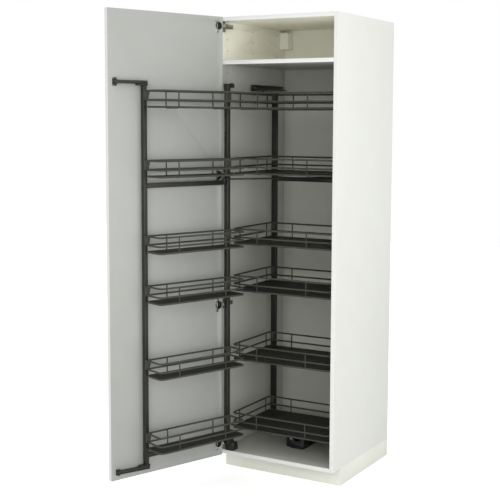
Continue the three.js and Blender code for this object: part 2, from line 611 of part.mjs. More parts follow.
// The left post ends in a small arm whose roller runs in the wall channel.
function innerPostLeft() {
  const x = innerPostCentres()[0];
  const y = INNER_POST_FRONT + INNER_POST[1] / 2;
  const rollerX = -INNER_HALF + GUIDE_CHANNEL.depth / 2;
  const rollerY = y - ROLLER_LEAD;
  const arm = raise([[x + INNER_POST[0] / 2, y - 8], [x + INNER_POST[0] / 2, y + 8],
    ...arc([rollerX, rollerY], 8, 110, 290, 6)], INNER_POST_TOP - 1, INNER_POST_TOP + 3);
  const axle = disc(rollerX, rollerY, INNER_POST_TOP, INNER_POST_TOP + 26, 3, 10);
  const rollerRadius = GUIDE_CHANNEL.depth / 2 - GUIDE_CHANNEL.wall - ROLLER_CLEARANCE;
  const roller = disc(rollerX, rollerY, INNER_POST_TOP + 22, INNER_POST_TOP + 32, rollerRadius, 12);
  return join(innerPost(x), arm, axle, roller);
}

function innerBeamMiddle() {
  const [left, right] = innerPostCentres();
  const half = INNER_POST[0] / 2;
  const y = INNER_POST_FRONT;
  const beam = boxBetween([left + half, y, MIDDLE_BAR_LEVEL],
    [right - half, y + INNER_POST[1], MIDDLE_BAR_LEVEL + INNER_BEAM]);
  const seat = disc(ROD_ANCHOR_X, y + INNER_POST[1] / 2, MIDDLE_BAR_LEVEL + INNER_BEAM - 1,
    ROD_LEVEL - ROD_RADIUS - RUNNING_GAP, 6, 12);
  return join(beam, seat);
}

function innerBeamBottom() {
  const [left, right] = innerPostCentres();
  const half = INNER_POST[0] / 2;
  return boxBetween([left - half, INNER_POST_FRONT, INNER_FOOT],
    [right + half, INNER_POST_FRONT + INNER_POST[1], INNER_FOOT + INNER_BEAM]);
}

function slideCarriage() {
  const x = SLIDE_CENTRE_X;
  const tongue = SLIDE_HALF_WIDTH - SLIDE_WALL - SLIDE_CLEARANCE;
  const [neck, head] = [SLIDE_HALF_WIDTH - SLIDE_LIP - 4, SLIDE_HALF_WIDTH - SLIDE_LIP];
  const z = [FLOOR_TOP + SLIDE_WALL + SLIDE_CLEARANCE, FLOOR_TOP + SLIDE_HEIGHT - SLIDE_WALL - 1,
    FLOOR_TOP + SLIDE_HEIGHT + 3, INNER_FOOT];
  return runAlongY([[x - tongue, z[0]], [x + tongue, z[0]], [x + tongue, z[1]], [x + neck, z[1]],
    [x + neck, z[2]], [x + head, z[2]], [x + head, z[3]], [x - head, z[3]], [x - head, z[2]],
    [x - neck, z[2]], [x - neck, z[1]], [x - tongue, z[1]]], ...CARRIAGE_RANGE);
}

function floorSlide() {
  const [x, w, t] = [SLIDE_CENTRE_X, SLIDE_HALF_WIDTH, SLIDE_WALL];
  const [low, high] = [FLOOR_TOP, FLOOR_TOP + SLIDE_HEIGHT];
  return runAlongY([[x - w, low], [x + w, low], [x + w, high], [x + w - SLIDE_LIP, high],
    [x + w - SLIDE_LIP, high - t], [x + w - t, high - t], [x + w - t, low + t], [x - w + t, low + t],
    [x - w + t, high - t], [x - w + SLIDE_LIP, high - t], [x - w + SLIDE_LIP, high],
    [x - w, high]], ...SLIDE_RANGE);
}

function slideHousing() {
  const [left, right] = [SLIDE_CENTRE_X - HOUSING_LEFT, SLIDE_CENTRE_X + HOUSING_RIGHT];
  const [c, ear] = [HOUSING_CHAMFER, HOUSING_EAR];
  const [y0, y1] = [SLIDE_RANGE[0] - HOUSING_DEPTH, SLIDE_RANGE[0]];
  const top = FLOOR_TOP + HOUSING_HEIGHT;
  const block = raise([[left, y0 + 2 * c], [left + c, y0 + c], [left + ear - c, y0 + c], [left + ear, y0],
    [right - c, y0], [right, y0 + c], [right, y1], [left, y1]], FLOOR_TOP, top);
  const toe = boxBetween([left - 1, y0 - 1, FLOOR_TOP + TOE_HEIGHT], [right + 1, y0 + TOE_DEPTH, top + 1]);
  const dish = runAlongY(arc([SLIDE_CENTRE_X, top], DISH_RADIUS, 180, 360, 8), y0 - 2, y0 + 30);
  return cut(block, toe, dish);
}

function damperPin() {
  const x = SLIDE_CENTRE_X - 26;
  const front = SLIDE_RANGE[0] - HOUSING_DEPTH + TOE_DEPTH;
  const pin = new THREE.CylinderGeometry(5.5, 5.5, TOE_DEPTH, 12);
  return pin.translate(x, front - TOE_DEPTH / 2, FLOOR_TOP + HOUSING_HEIGHT - 8);
}

// Wall channel for the roller: open below, flared at the front, its outer lip rising to the back,
// where a strip carries on as a stop.
function upperGuide() {
  const { y, depth, top, frontDrop, backDrop, wall } = GUIDE_CHANNEL;
  const x = -INNER_HALF;
  const side = [[y[0], top - frontDrop], [y[0] + 6, top - frontDrop], [y[1], top - backDrop],
    [y[1], top], [y[0], top]];
  const block = raise(side, 0, depth).applyMatrix4(new THREE.Matrix4().set(
    0, 0, 1, x, 1, 0, 0, 0, 0, 1, 0, 0, 0, 0, 0, 1));
  const strip = boxBetween([x, y[1] - 1, top - backDrop],
    [x + depth, y[1] + GUIDE_TAIL, top - backDrop + wall]);
  const groove = boxBetween([x + wall, y[0] - 1, top - frontDrop - 1],
    [x + depth - wall, y[1] - wall, top - wall]);
  const flare = raise([[x - 1, y[0] - 1], [x + depth - wall, y[0] - 1], [x - 1, y[0] + GUIDE_FLARE]],
    top - frontDrop - 1, top + 1);
  return cut(join(block, strip), groove, flare);
}

// ---------- drive rod ----------
function driveRod() {
  const crank = openFramePoint(...ROD_CRANK);
  const anchor = [ROD_ANCHOR_X, INNER_POST_FRONT + INNER_POST[1] / 2];
  const [low, high] = [ROD_LEVEL - ROD_RADIUS, ROD_LEVEL + ROD_RADIUS];
  const length = Math.hypot(anchor[0] - crank[0], anchor[1] - crank[1]);
  const bar = new THREE.CylinderGeometry(ROD_RADIUS, ROD_RADIUS, length, 8);
  bar.rotateZ(-Math.PI / 2).rotateZ(Math.atan2(anchor[1] - crank[1], anchor[0] - crank[0]));
  bar.translate((crank[0] + anchor[0]) / 2, (crank[1] + anchor[1]) / 2, ROD_LEVEL);
  const eyes = [crank, anchor].map(([x, y]) => disc(x, y, low, high, ROD_EYE_RADIUS, 12));
  const bore = disc(...crank, low - 1, high + 1, ROD_RADIUS, 12);
  return cut(join(bar, ...eyes), bore);
}

// ---------- assembly ----------
const larder = new THREE.Group();
larder.name = 'pull_out_larder_unit';

function add(name, geometry, [color, roughness, metalness]) {
  geometry.translate(0, -(FRONT + PLINTH_SETBACK + PLINTH_BOARD / 2), 0);
  const mesh = new THREE.Mesh(geometry, new THREE.MeshStandardMaterial({ color, roughness, metalness }));
  mesh.name = name;
  larder.add(mesh);
}

add('side_panel_left', sidePanel(-1), COLOURS.board);
add('side_panel_right', sidePanel(1), COLOURS.board);
add('bottom_panel', shelfBoard(PLINTH_HEIGHT), COLOURS.innerBoard);
add('top_panel', shelfBoard(CABINET_TOP - PANEL), COLOURS.innerBoard);
add('fixed_shelf', shelfBoard(SHELF_UNDERSIDE), COLOURS.innerBoard);
add('back_panel', backPanel(), COLOURS.innerBoard);
add('plinth_front', plinthFront(), COLOURS.board);
add('plinth_side_left', plinthSide(-1), COLOURS.board);
add('plinth_side_right', plinthSide(1), COLOURS.board);
const legX = HALF_WIDTH - LEG_INSET_X;
const [legFront, legBack] = [FRONT + LEG_INSET_FRONT, BACK - LEG_INSET_BACK];
add('leg_front_left', leg(-legX, legFront), COLOURS.leg);
add('leg_front_right', leg(legX, legFront), COLOURS.leg);
add('leg_back_left', leg(-legX, legBack), COLOURS.leg);
add('leg_back_right', leg(legX, legBack), COLOURS.leg);
add('suspension_cover_left', suspensionCover(-1), COLOURS.cover);
add('suspension_cover_right', suspensionCover(1), COLOURS.cover);
add('pivot_block', pivotBlock(), COLOURS.black);
add('pivot_bracket_top', pivotBracketTop(), COLOURS.black);
add('upper_guide', upperGuide(), COLOURS.black);
add('floor_slide', floorSlide(), COLOURS.black);
add('slide_housing', slideHousing(), COLOURS.black);
add('slide_damper_pin', damperPin(), COLOURS.steel);
add('door_panel', doorPanel(), COLOURS.door);
HINGE_LEVELS.forEach((level, i) => {
  add(`hinge_arm_${i + 1}`, hingeArm(level), COLOURS.steel);
  add(`hinge_link_${i + 1}`, hingeLink(level), COLOURS.steel);
  add(`hinge_cup_${i + 1}`, hingeCup(level), COLOURS.steel);
});
add('arm_bracket_top', armBracket(UPPER_GUIDE_LEVEL, UPPER_PLATE_RISE), COLOURS.frame);
add('arm_bracket_bottom', armBracket(LOWER_GUIDE_LEVEL, LOWER_PLATE_RISE), COLOURS.frame);
add('guide_arm_top', guideArm(UPPER_GUIDE_LEVEL), COLOURS.frame);
add('guide_arm_bottom', guideArm(LOWER_GUIDE_LEVEL), COLOURS.frame);
add('rear_post', rearPost(), COLOURS.frame);
add('front_post', frontPost(), COLOURS.frame);
add('crossbar_middle', middleCrossbar(), COLOURS.frame);
add('crossbar_bottom', openFrame(frameCrossbar(LOWER_BAR_LEVEL)), COLOURS.frame);
add('inner_post_left', innerPostLeft(), COLOURS.innerFrame);
add('inner_post_right', innerPost(innerPostCentres()[1]), COLOURS.innerFrame);
add('inner_beam_middle', innerBeamMiddle(), COLOURS.innerFrame);
add('inner_beam_bottom', innerBeamBottom(), COLOURS.innerFrame);
add('slide_carriage', slideCarriage(), COLOURS.black);
add('drive_rod', driveRod(), COLOURS.innerFrame);
BASKET_TOPS.forEach((top, i) => {
  add(`door_basket_${i + 1}`, doorBasket(top), COLOURS.frame);
  add(`inner_basket_${i + 1}`, innerBasket(top), COLOURS.innerFrame);
});

export default larder;
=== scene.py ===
# %% [markdown]
# # A pull-out larder unit
# A tall kitchen cabinet stands open. Its door swings out a frame of shallow wire baskets, and a second
# frame of deep baskets slides forward inside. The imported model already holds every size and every
# joint. This lesson dresses it: round wires, rounded edges, screws and finishes. Each new piece is a
# surface worked out with numpy, because a formula keeps the sizes readable and easy to change.

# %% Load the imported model
import math
import bmesh
import bpy
import numpy as np
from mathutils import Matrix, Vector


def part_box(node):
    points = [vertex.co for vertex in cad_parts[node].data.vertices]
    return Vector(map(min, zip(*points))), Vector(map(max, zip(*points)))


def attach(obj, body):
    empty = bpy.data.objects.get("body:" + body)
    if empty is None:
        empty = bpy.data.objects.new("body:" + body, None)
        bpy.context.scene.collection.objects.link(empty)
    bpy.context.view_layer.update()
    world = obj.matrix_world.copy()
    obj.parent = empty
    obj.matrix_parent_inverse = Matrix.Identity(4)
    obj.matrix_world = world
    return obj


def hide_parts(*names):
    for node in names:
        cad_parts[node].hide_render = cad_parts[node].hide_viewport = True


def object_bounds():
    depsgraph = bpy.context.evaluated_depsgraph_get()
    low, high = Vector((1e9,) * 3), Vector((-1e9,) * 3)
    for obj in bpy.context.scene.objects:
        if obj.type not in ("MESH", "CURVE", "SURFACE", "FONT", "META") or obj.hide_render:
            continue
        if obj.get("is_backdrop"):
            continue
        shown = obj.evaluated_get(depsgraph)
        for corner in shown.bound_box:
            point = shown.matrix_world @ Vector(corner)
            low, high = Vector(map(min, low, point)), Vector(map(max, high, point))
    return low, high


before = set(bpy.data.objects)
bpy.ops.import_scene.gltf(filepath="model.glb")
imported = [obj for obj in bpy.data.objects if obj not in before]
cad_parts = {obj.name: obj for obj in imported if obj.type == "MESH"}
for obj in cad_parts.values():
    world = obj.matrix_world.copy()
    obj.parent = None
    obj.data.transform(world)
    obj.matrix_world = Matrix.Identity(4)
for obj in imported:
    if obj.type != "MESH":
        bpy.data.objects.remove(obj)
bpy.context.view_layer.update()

# %% [markdown]
# ## Where things are
# The cabinet is easiest to draw around its own centre, the door along its own width and the swinging
# frame along its own bar. So pieces are drawn in millimetres in one of three simple frames, and a
# turn about the hinge line brings them to the open pose. The cabinet's centre lies 215 mm behind the
# part's own origin, so every frame ends with that step back.

# %% Three drawing frames
CENTRE_BACK = 215.0
OPEN = math.radians(110.45)
DOOR_PIVOT = (-284.0, -326.0)
DOOR_ORIGIN = (-298.5, -305.0, 0.0)
FRAME_PIVOT = (-234.0, -285.0)
FRAME_ORIGIN = (-200.0, -272.6, 0.0)


def turned(points, pivot, angle):
    """Turns points about an upright line: x' = c x - s y and y' = s x + c y, measured from the pivot."""
    c, s = math.cos(angle), math.sin(angle)
    x, y = points[:, 0] - pivot[0], points[:, 1] - pivot[1]
    return np.column_stack([pivot[0] + c * x - s * y, pivot[1] + s * x + c * y, points[:, 2]])


def cabinet(points):
    """Cabinet frame: x across, y to the back, from the cabinet's centre."""
    return points + (0.0, CENTRE_BACK, 0.0)


def door(points):
    """Door frame: x from the hinge edge, y from the inner face into the cabinet, then swung open."""
    return cabinet(turned(points + DOOR_ORIGIN, DOOR_PIVOT, -OPEN))


def swing(points):
    """Swinging-frame frame: x from the rear post, y towards the baskets, then swung open."""
    return cabinet(turned(points + FRAME_ORIGIN, FRAME_PIVOT, -OPEN))


print("door corner when open, mm:", door(np.array([[597.0, 0.0, 0.0]]))[0].round(1))

# %% [markdown]
# ## Building blocks
# Nearly everything here is one of four forms. A slab is an outline carried through a thickness with
# its edges rounded. A tube is a circle carried along a path, which is what a bent wire is. A turned
# form is a profile spun about a line. A holed plate runs from a hole's rim out to its outline. All
# of them are grids of points, so one small function makes the faces for all of them.


# %% Grids and their faces
def grid_faces(rows, columns, close_rows, close_columns):
    """Joins point (i, j) to (i+1, j), (i+1, j+1) and (i, j+1), wrapping round where a side closes."""
    i, j = np.meshgrid(np.arange(rows - (not close_rows)), np.arange(columns - (not close_columns)),
                       indexing="ij")
    i2, j2 = (i + 1) % rows, (j + 1) % columns
    quads = [i * columns + j, i2 * columns + j, i2 * columns + j2, i * columns + j2]
    return np.stack(quads, -1).reshape(-1, 4).tolist()


def end_caps(rings, sides):
    """The two end faces of a stack of rings: the first ring as it is and the last one backwards."""
    last = rings * sides
    return [list(range(sides)), list(range(last - 1, last - sides - 1, -1))]


def outward(points, faces):
    """Six times the volume is the sum of a.(b x c) over the fans; where it is negative, faces turn."""
    total = 0.0
    for count in {len(face) for face in faces}:
        corners = np.array([face for face in faces if len(face) == count])
        a = points[corners[:, 0]]
        for k in range(1, count - 1):
            total += np.sum(a * np.cross(points[corners[:, k]], points[corners[:, k + 1]]))
    return points, (faces if total > 0 else [face[::-1] for face in faces])


def inset_shift(outline):
    """The step that moves each corner 1 mm inwards: the sum of its two edge normals, over 1 + their dot."""
    edge = np.roll(outline, -1, 0) - outline
    normal = np.column_stack([-edge[:, 1], edge[:, 0]])
    normal /= np.linalg.norm(normal, axis=1, keepdims=True)
    before = np.roll(normal, 1, 0)
    return (normal + before) / (1.0 + np.sum(normal * before, axis=1, keepdims=True))


ALONG_Z, ALONG_X, ALONG_Y = (0, 1, 2), (2, 0, 1), (0, 2, 1)


def slab(outline, low, high, rounding=1.0, order=ALONG_Z, steps=3):
    """An outline carried from low to high. At angle t its edge is r (1 - cos t) from the face and
    drawn in by r (1 - sin t), a quarter round. Order names the axis that the thickness runs along,
    and the outline lies in the other two."""
    outline = np.asarray(outline, float)
    t = np.linspace(0.0, np.pi / 2, steps + 1)
    draw, lift = rounding * (1 - np.sin(t)), rounding * (1 - np.cos(t))
    draw = np.concatenate([draw, draw[::-1]])
    height = np.concatenate([low + lift, (high - lift)[::-1]])
    flat = outline[None] + draw[:, None, None] * inset_shift(outline)[None]
    tall = np.broadcast_to(height[:, None, None], flat.shape[:2] + (1,))
    points = np.concatenate([flat, tall], axis=2).reshape(-1, 3)[:, order]
    n, rings = len(outline), len(height)
    return outward(points, grid_faces(rings, n, False, True) + end_caps(rings, n))


def box_outline(x0, x1, y0, y1, radius=0.0, steps=4):
    """A rectangle whose four corners are quarter circles, walked anticlockwise."""
    radius = max(radius, 0.01)
    centres = np.array([[x1 - radius, y1 - radius], [x0 + radius, y1 - radius],
                        [x0 + radius, y0 + radius], [x1 - radius, y0 + radius]])
    t = (np.arange(4)[:, None] + np.linspace(0, 1, steps + 1)[None]) * np.pi / 2
    circle = np.stack([np.cos(t), np.sin(t)], -1)
    return (centres[:, None] + radius * circle).reshape(-1, 2)


END_RUN, END_SIZE = 0.4, 0.7


def tube(path, radius, across, sides=12, closed=False):
    """A circle of that radius at each path point, in the plane of the flat path's normal and the
    sideways direction normal x forward. An open end runs on by 0.4 of the radius, where the circle
    has shrunk to 0.7 of its size, and is capped."""
    path = np.asarray(path, float)
    ahead = np.roll(path, -1, 0) - np.roll(path, 1, 0) if closed else np.gradient(path, axis=0)
    ahead /= np.linalg.norm(ahead, axis=1, keepdims=True)
    size = np.full(len(path), radius)
    if not closed:
        run_on = radius * END_RUN
        path = np.concatenate([path[:1] - ahead[:1] * run_on, path, path[-1:] + ahead[-1:] * run_on])
        ahead = np.concatenate([ahead[:1], ahead, ahead[-1:]])
        size = np.concatenate([[radius * END_SIZE], size, [radius * END_SIZE]])
    normal = np.asarray(across, float)
    side = np.cross(normal, ahead)
    side /= np.linalg.norm(side, axis=1, keepdims=True)
    t = np.linspace(0, 2 * np.pi, sides, endpoint=False)
    ring = np.cos(t)[None, :, None] * side[:, None] + np.sin(t)[None, :, None] * normal
    points = (path[:, None] + size[:, None, None] * ring).reshape(-1, 3)
    caps = [] if closed else end_caps(len(path), sides)
    return outward(points, grid_faces(len(path), sides, closed, True) + caps)


def aimed(points, origin, direction):
    """Turns local z to the direction, with local x kept level, and moves the form to its origin."""
    z = np.asarray(direction, float)
    z = z / np.linalg.norm(z)
    level = np.array([1.0, 0.0, 0.0]) if abs(z[2]) > 0.9 else np.cross([0.0, 0.0, 1.0], z)
    x = level / np.linalg.norm(level)
    return points @ np.array([x, np.cross(z, x), z]) + np.asarray(origin, float)


def spun(profile, origin=(0, 0, 0), direction=(0, 0, 1), sides=28):
    """Each profile pair (radius, height) sweeps a circle; the first and last circles are capped."""
    profile = np.asarray(profile, float)
    t = np.linspace(0, 2 * np.pi, sides, endpoint=False)
    r, h = profile[:, :1], profile[:, 1:]
    points = np.stack([r * np.cos(t), r * np.sin(t), h + 0 * t], -1).reshape(-1, 3)
    faces = grid_faces(len(profile), sides, False, True) + end_caps(len(profile), sides)
    return outward(aimed(points, origin, direction), faces)


def holed_plate(outline, hole, radius, low, high, rounding=0.8):
    """From the hole's rim to a convex outline: along each ray the outline lies at the least of
    (edge distance) / (edge normal . ray); the section goes rim, rounded edge, rim and closes."""
    outline, hole = np.asarray(outline, float), np.asarray(hole, float)
    corner = outline - hole
    rays = np.sort(np.concatenate([np.arctan2(corner[:, 1], corner[:, 0]),
                                   np.linspace(-np.pi, np.pi, 24, endpoint=False)]))
    rays = rays[np.append(np.diff(rays) > 1e-3, True)]
    ray = np.stack([np.cos(rays), np.sin(rays)], -1)
    edge = np.roll(corner, -1, 0) - corner
    normal = np.column_stack([edge[:, 1], -edge[:, 0]])
    reach = (np.sum(normal * corner, 1)[None] / np.maximum(ray @ normal.T, 1e-9)).min(axis=1)
    reach = reach[:, None] * np.ones(6)
    reach[:, 0] = reach[:, 5] = radius
    reach[:, 1] -= rounding
    reach[:, 4] -= rounding
    height = np.array([low, low, low + rounding, high - rounding, high, high]) + 0 * reach
    points = np.stack([hole[0] + reach * ray[:, :1], hole[1] + reach * ray[:, 1:], height], -1)
    return outward(points.reshape(-1, 3), grid_faces(len(rays), 6, True, True))


def arc(centre, radius, first, last, steps):
    """Points on a circle from one angle to another, in degrees: centre + r (cos t, sin t)."""
    t = np.radians(np.linspace(first, last, steps))
    return np.asarray(centre, float) + radius * np.column_stack([np.cos(t), np.sin(t)])


def disc_outline(centre, radius, steps=20):
    """A circle as an anticlockwise outline."""
    t = np.linspace(0, 2 * np.pi, steps, endpoint=False)
    return np.column_stack([centre[0] + radius * np.cos(t), centre[1] + radius * np.sin(t)])


print("slab check, faces:", len(slab(box_outline(0, 10, 0, 5, 1), 0, 2)[1]))

# %% [markdown]
# ## Small screws
# Screw heads are tiny, but they are what makes a fitting look fixed. A head is a disc whose height
# is a function of place: a low dome, less a cross-shaped pocket for the driver.


# %% Screw heads
SCREW_SIDES = 32


def screw(origin, direction, radius=3.4, dome=1.6):
    """Height = 0.4 mm + dome (1 - (r / R)^2), less a pocket of 1 mm, which fades in over 0.15 mm where
    |x| or |y| is under a sixth of the radius and r is under 0.6 R. The rim drops into the plate."""
    r = radius * np.array([0.05, 0.12, 0.17, 0.25, 0.4, 0.55, 0.62, 0.75, 0.9, 1.0])[:, None]
    t = np.linspace(0, 2 * np.pi, SCREW_SIDES, endpoint=False)[None]
    x, y = r * np.cos(t), r * np.sin(t)
    arm = np.minimum(np.abs(x), np.abs(y))
    pocket = np.clip((radius / 6 - arm) / 0.15, 0, 1) * np.clip((0.6 * radius - r) / 0.15, 0, 1)
    height = 0.4 + dome * (1 - (r / radius) ** 2) - np.minimum(pocket, 1.0)
    foot = np.stack([x[-1:], y[-1:], np.full_like(x[-1:], -0.5)], -1)
    points = np.concatenate([np.stack([x, y, height], -1), foot]).reshape(-1, 3)
    rings = len(r) + 1
    faces = grid_faces(rings, SCREW_SIDES, False, True) + end_caps(rings, SCREW_SIDES)
    return outward(aimed(points, origin, direction), faces)


print("faces in one screw head:", len(screw((0, 0, 0), (0, 0, 1))[1]))

# %% [markdown]
# ## From surfaces to pieces
# Several surfaces make one piece, as the wires of a basket do. The piece goes in with its place in
# its mesh, rides on the body that carries it, and says which solid it stands for.


# %% Make a piece
CRISP_EDGE = math.radians(35)


def piece(name, surfaces, body, material, place=cabinet, stands_for=(), second=None, seconds=()):
    """Adds up the surfaces, shifting each one's face numbers by the points before it, and turns
    millimetres into metres. Faces that meet at over 35 degrees keep a crisp edge between them. The
    surfaces whose numbers are in seconds get the second material."""
    starts = np.cumsum([0] + [len(points) for points, _ in surfaces])
    points = place(np.concatenate([points for points, _ in surfaces])) / 1000.0
    faces = [[corner + start for corner in face]
             for (_, part), start in zip(surfaces, starts.tolist()) for face in part]
    mesh = bpy.data.meshes.new(name)
    mesh.from_pydata(points.tolist(), [], faces)
    mesh.materials.append(material)
    if second:
        mesh.materials.append(second)
        kinds = [[int(number in seconds)] * len(part) for number, (_, part) in enumerate(surfaces)]
        mesh.polygons.foreach_set("material_index", sum(kinds, []))
    mesh.update()
    mesh.shade_smooth()
    mesh.set_sharp_from_angle(angle=CRISP_EDGE)
    thing = bpy.data.objects.new(name, mesh)
    bpy.context.scene.collection.objects.link(thing)
    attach(thing, body)
    if stands_for:
        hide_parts(*stands_for)
    return thing


# %% [markdown]
# ## Finishes
# Every finish is one Principled shader with noise in it: a broad noise that shifts the colour a
# little, and a fine one that moves the roughness and raises the surface. Melamine has a fine pearl
# grain, powder coat an orange-peel skin, moulded plastic a leathery spark-eroded texture, and nickel
# plate long polishing lines. The wires' paint is matt, so that the far ones stay dark in the shade.
# The posts and the inner frame have the same paint, given darker colours as painted shade.


# %% Finish builder
def linear(r, g, b):
    """Screen colour 0 to 255 to linear light: (c / 255) to the power 2.2."""
    return tuple((np.array([r, g, b]) / 255.0) ** 2.2) + (1.0,)


def add(tree, kind, **inputs):
    """A node with some of its inputs set by name."""
    node = tree.nodes.new(kind)
    for key, value in inputs.items():
        node.inputs[key].default_value = value
    return node


BLEND_FROM, BLEND_TO = 0.35, 0.65
BUMP_STRENGTH = 0.6


def finish(name, colour, shade, roughness, spread, grain, depth, metal=0.0, stretch=(1, 1, 1), broad=9.0,
           second=None, border=None, shine=0.5):
    """Colour moves between colour and shade with a broad noise, roughness by plus or minus spread
    with a fine one, and bump height is the fine noise times depth. A second colour pair, where
    given, takes over above a height. Shine is the share of mirror-like light, 0.5 for most paints."""
    material = bpy.data.materials.new(name)
    material.use_nodes = True
    tree = material.node_tree
    link = tree.links.new
    shader = tree.nodes["Principled BSDF"]
    shader.inputs["Metallic"].default_value = metal
    shader.inputs["Specular IOR Level"].default_value = shine
    place = add(tree, "ShaderNodeTexCoord")
    scaled = add(tree, "ShaderNodeMapping", Scale=stretch)
    link(place.outputs["Object"], scaled.inputs["Vector"])
    cloud = add(tree, "ShaderNodeTexNoise", Scale=broad, Detail=3.0)
    fine = add(tree, "ShaderNodeTexNoise", Scale=grain, Detail=5.0, Roughness=0.6)
    link(scaled.outputs["Vector"], cloud.inputs["Vector"])
    link(scaled.outputs["Vector"], fine.inputs["Vector"])

    def blend(low_tone, high_tone):
        ramp = tree.nodes.new("ShaderNodeValToRGB")
        start, end = ramp.color_ramp.elements
        start.position, start.color = BLEND_FROM, low_tone
        end.position, end.color = BLEND_TO, high_tone
        link(cloud.outputs["Fac"], ramp.inputs["Fac"])
        return ramp.outputs["Color"]

    tone = blend(colour, shade)
    if second:
        height = add(tree, "ShaderNodeSeparateXYZ")
        link(place.outputs["Object"], height.inputs["Vector"])
        above = tree.nodes.new("ShaderNodeMath")
        above.operation = "GREATER_THAN"
        above.inputs[1].default_value = border
        link(height.outputs["Z"], above.inputs[0])
        mix = tree.nodes.new("ShaderNodeMix")
        mix.data_type = "RGBA"
        link(above.outputs[0], mix.inputs["Factor"])
        link(tone, mix.inputs[6])
        link(blend(*second), mix.inputs[7])
        tone = mix.outputs[2]
    link(tone, shader.inputs["Base Color"])
    rough = add(tree, "ShaderNodeMapRange", **{"To Min": roughness - spread, "To Max": roughness + spread})
    link(fine.outputs["Fac"], rough.inputs["Value"])
    link(rough.outputs["Result"], shader.inputs["Roughness"])
    bump = add(tree, "ShaderNodeBump", Strength=BUMP_STRENGTH, Distance=depth)
    link(fine.outputs["Fac"], bump.inputs["Height"])
    link(bump.outputs["Normal"], shader.inputs["Normal"])
    return material


# %% Finishes of this cabinet
SHELF_MIDDLE = 1.879
# After the two colours: roughness and its spread, grain per metre, bump depth in metres.
BOARD = finish("white_board", linear(236, 238, 231), linear(235, 236, 229), 0.42, 0.06, 900, 0.00008)
BAND = finish("white_edge_band", linear(234, 235, 231), linear(232, 233, 229), 0.3, 0.05, 500, 0.00005)
PLINTH = finish("plinth_board", linear(234, 235, 225), linear(232, 233, 223), 0.45, 0.06, 900, 0.00008)
# Painted shade: the inside boards are a darker grey below the shelf's middle, standing for the shade deep in
# the lower compartment, and a near-white cream above it.
INSIDE = finish("inner_board", linear(202, 202, 194), linear(200, 200, 192), 0.5, 0.07, 900, 0.00008,
                second=(linear(252, 251, 238), linear(251, 250, 237)), border=SHELF_MIDDLE)
# Painted shade: the walls of drilled holes and the lower socket rings are this dark colour, standing for the
# shade inside a hole.
DARK = finish("painted_hole_shade", linear(92, 90, 82), linear(84, 82, 75), 0.7, 0.1, 900, 0.00005)
DOOR_FACE = finish("door_lacquer", linear(174, 177, 171), linear(172, 175, 169), 0.38, 0.05, 600, 0.00006)
# Painted shade: POST, DARK_FRAME and DARK_POST below are this same paint, darkened to stand for the shade on
# the posts and inside the cabinet.
FRAME = finish("powder_coat", linear(80, 80, 75), linear(72, 72, 67), 0.5, 0.08, 1400, 0.0002, shine=0.15)
POST = finish("post_powder_coat_painted_shade", linear(58, 58, 54), linear(50, 50, 46), 0.42, 0.08, 1400, 0.0002,
              metal=0.5)
DARK_FRAME = finish("inner_powder_coat_painted_shade", linear(78, 78, 73), linear(70, 70, 65), 0.5, 0.08, 1400, 0.0002,
                    shine=0.05)
DARK_POST = finish("inner_post_coat_painted_shade", linear(50, 50, 46), linear(42, 42, 38), 0.42, 0.08, 1400, 0.0002,
                   metal=0.5)
TRAY = finish("tray_sheet", linear(62, 62, 58), linear(56, 56, 52), 0.55, 0.08, 1400, 0.0002, shine=0.1)
NICKEL = finish("nickel", linear(206, 207, 204), linear(150, 151, 148), 0.22, 0.1, 300, 0.00005, metal=1.0,
                stretch=(1, 1, 6))
# Painted shade: the cups' bowls are nickel, darkened here to stand for the shade inside a cup.
SHADED = finish("cup_bowl_painted_shade", linear(50, 50, 48), linear(40, 40, 38), 0.5, 0.1, 300, 0.00005, metal=0.4)
BLACK = finish("black_moulding", linear(24, 24, 23), linear(18, 18, 17), 0.32, 0.1, 1100, 0.0002)
WHITE = finish("white_moulding", linear(249, 248, 236), linear(248, 247, 235), 0.35, 0.06, 700, 0.0001)
print("finishes", len(bpy.data.materials))

# %% [markdown]
# ## Boards
# The boards' solids are right in every size, holes and bores included. What they lack is the softened
# edge and the bright edging strip. So each one is copied, its loose triangles are merged, and a narrow
# bevel goes on. Faces get their finish by the way they look: forward is edging, inward is the inside,
# outward is the outside, and the walls of a drilled hole are dark.


# %% Softened copies of solids
MERGE, FLATTEN, BEVELLED = 2e-6, math.radians(0.5), math.radians(30)


def softened(node, body, materials, choose=None, width=0.0008, segments=2):
    """Merges the copy's corners and flat neighbours, gives each face the finish whose number choose
    returns for its normal and centre, and bevels every edge sharper than 30 degrees."""
    shape = bmesh.new()
    shape.from_mesh(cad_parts[node].data)
    bmesh.ops.remove_doubles(shape, verts=shape.verts, dist=MERGE)
    bmesh.ops.dissolve_limit(shape, angle_limit=FLATTEN, verts=shape.verts, edges=shape.edges)
    mesh = bpy.data.meshes.new(node + "_softened")
    shape.to_mesh(mesh)
    shape.free()
    mesh.materials.clear()
    for material in materials:
        mesh.materials.append(material)
    normals = np.zeros(len(mesh.polygons) * 3, np.float32)
    centres = np.zeros(len(mesh.polygons) * 3, np.float32)
    mesh.polygons.foreach_get("normal", normals)
    mesh.polygons.foreach_get("center", centres)
    index = np.zeros(len(mesh.polygons), np.int32)
    if choose:
        index = choose(normals.reshape(-1, 3), centres.reshape(-1, 3)).astype(np.int32)
    mesh.polygons.foreach_set("material_index", index)
    mesh.shade_smooth()
    thing = bpy.data.objects.new(node + "_softened", mesh)
    bpy.context.scene.collection.objects.link(thing)
    bevel = thing.modifiers.new("soft_edge", "BEVEL")
    bevel.width, bevel.segments, bevel.harden_normals = width, segments, True
    bevel.limit_method, bevel.angle_limit = "ANGLE", BEVELLED
    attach(thing, body)
    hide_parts(node)
    return thing


# %% Which face gets which finish
FACING = 0.7
HOLE_FROM, HOLE_TO = 0.2821, 0.2945
HOLES_BACK, HOLES_BACK_HALF = 0.19, 0.27
HOLES_UP, HOLES_UP_HALF = 1.08, 0.98


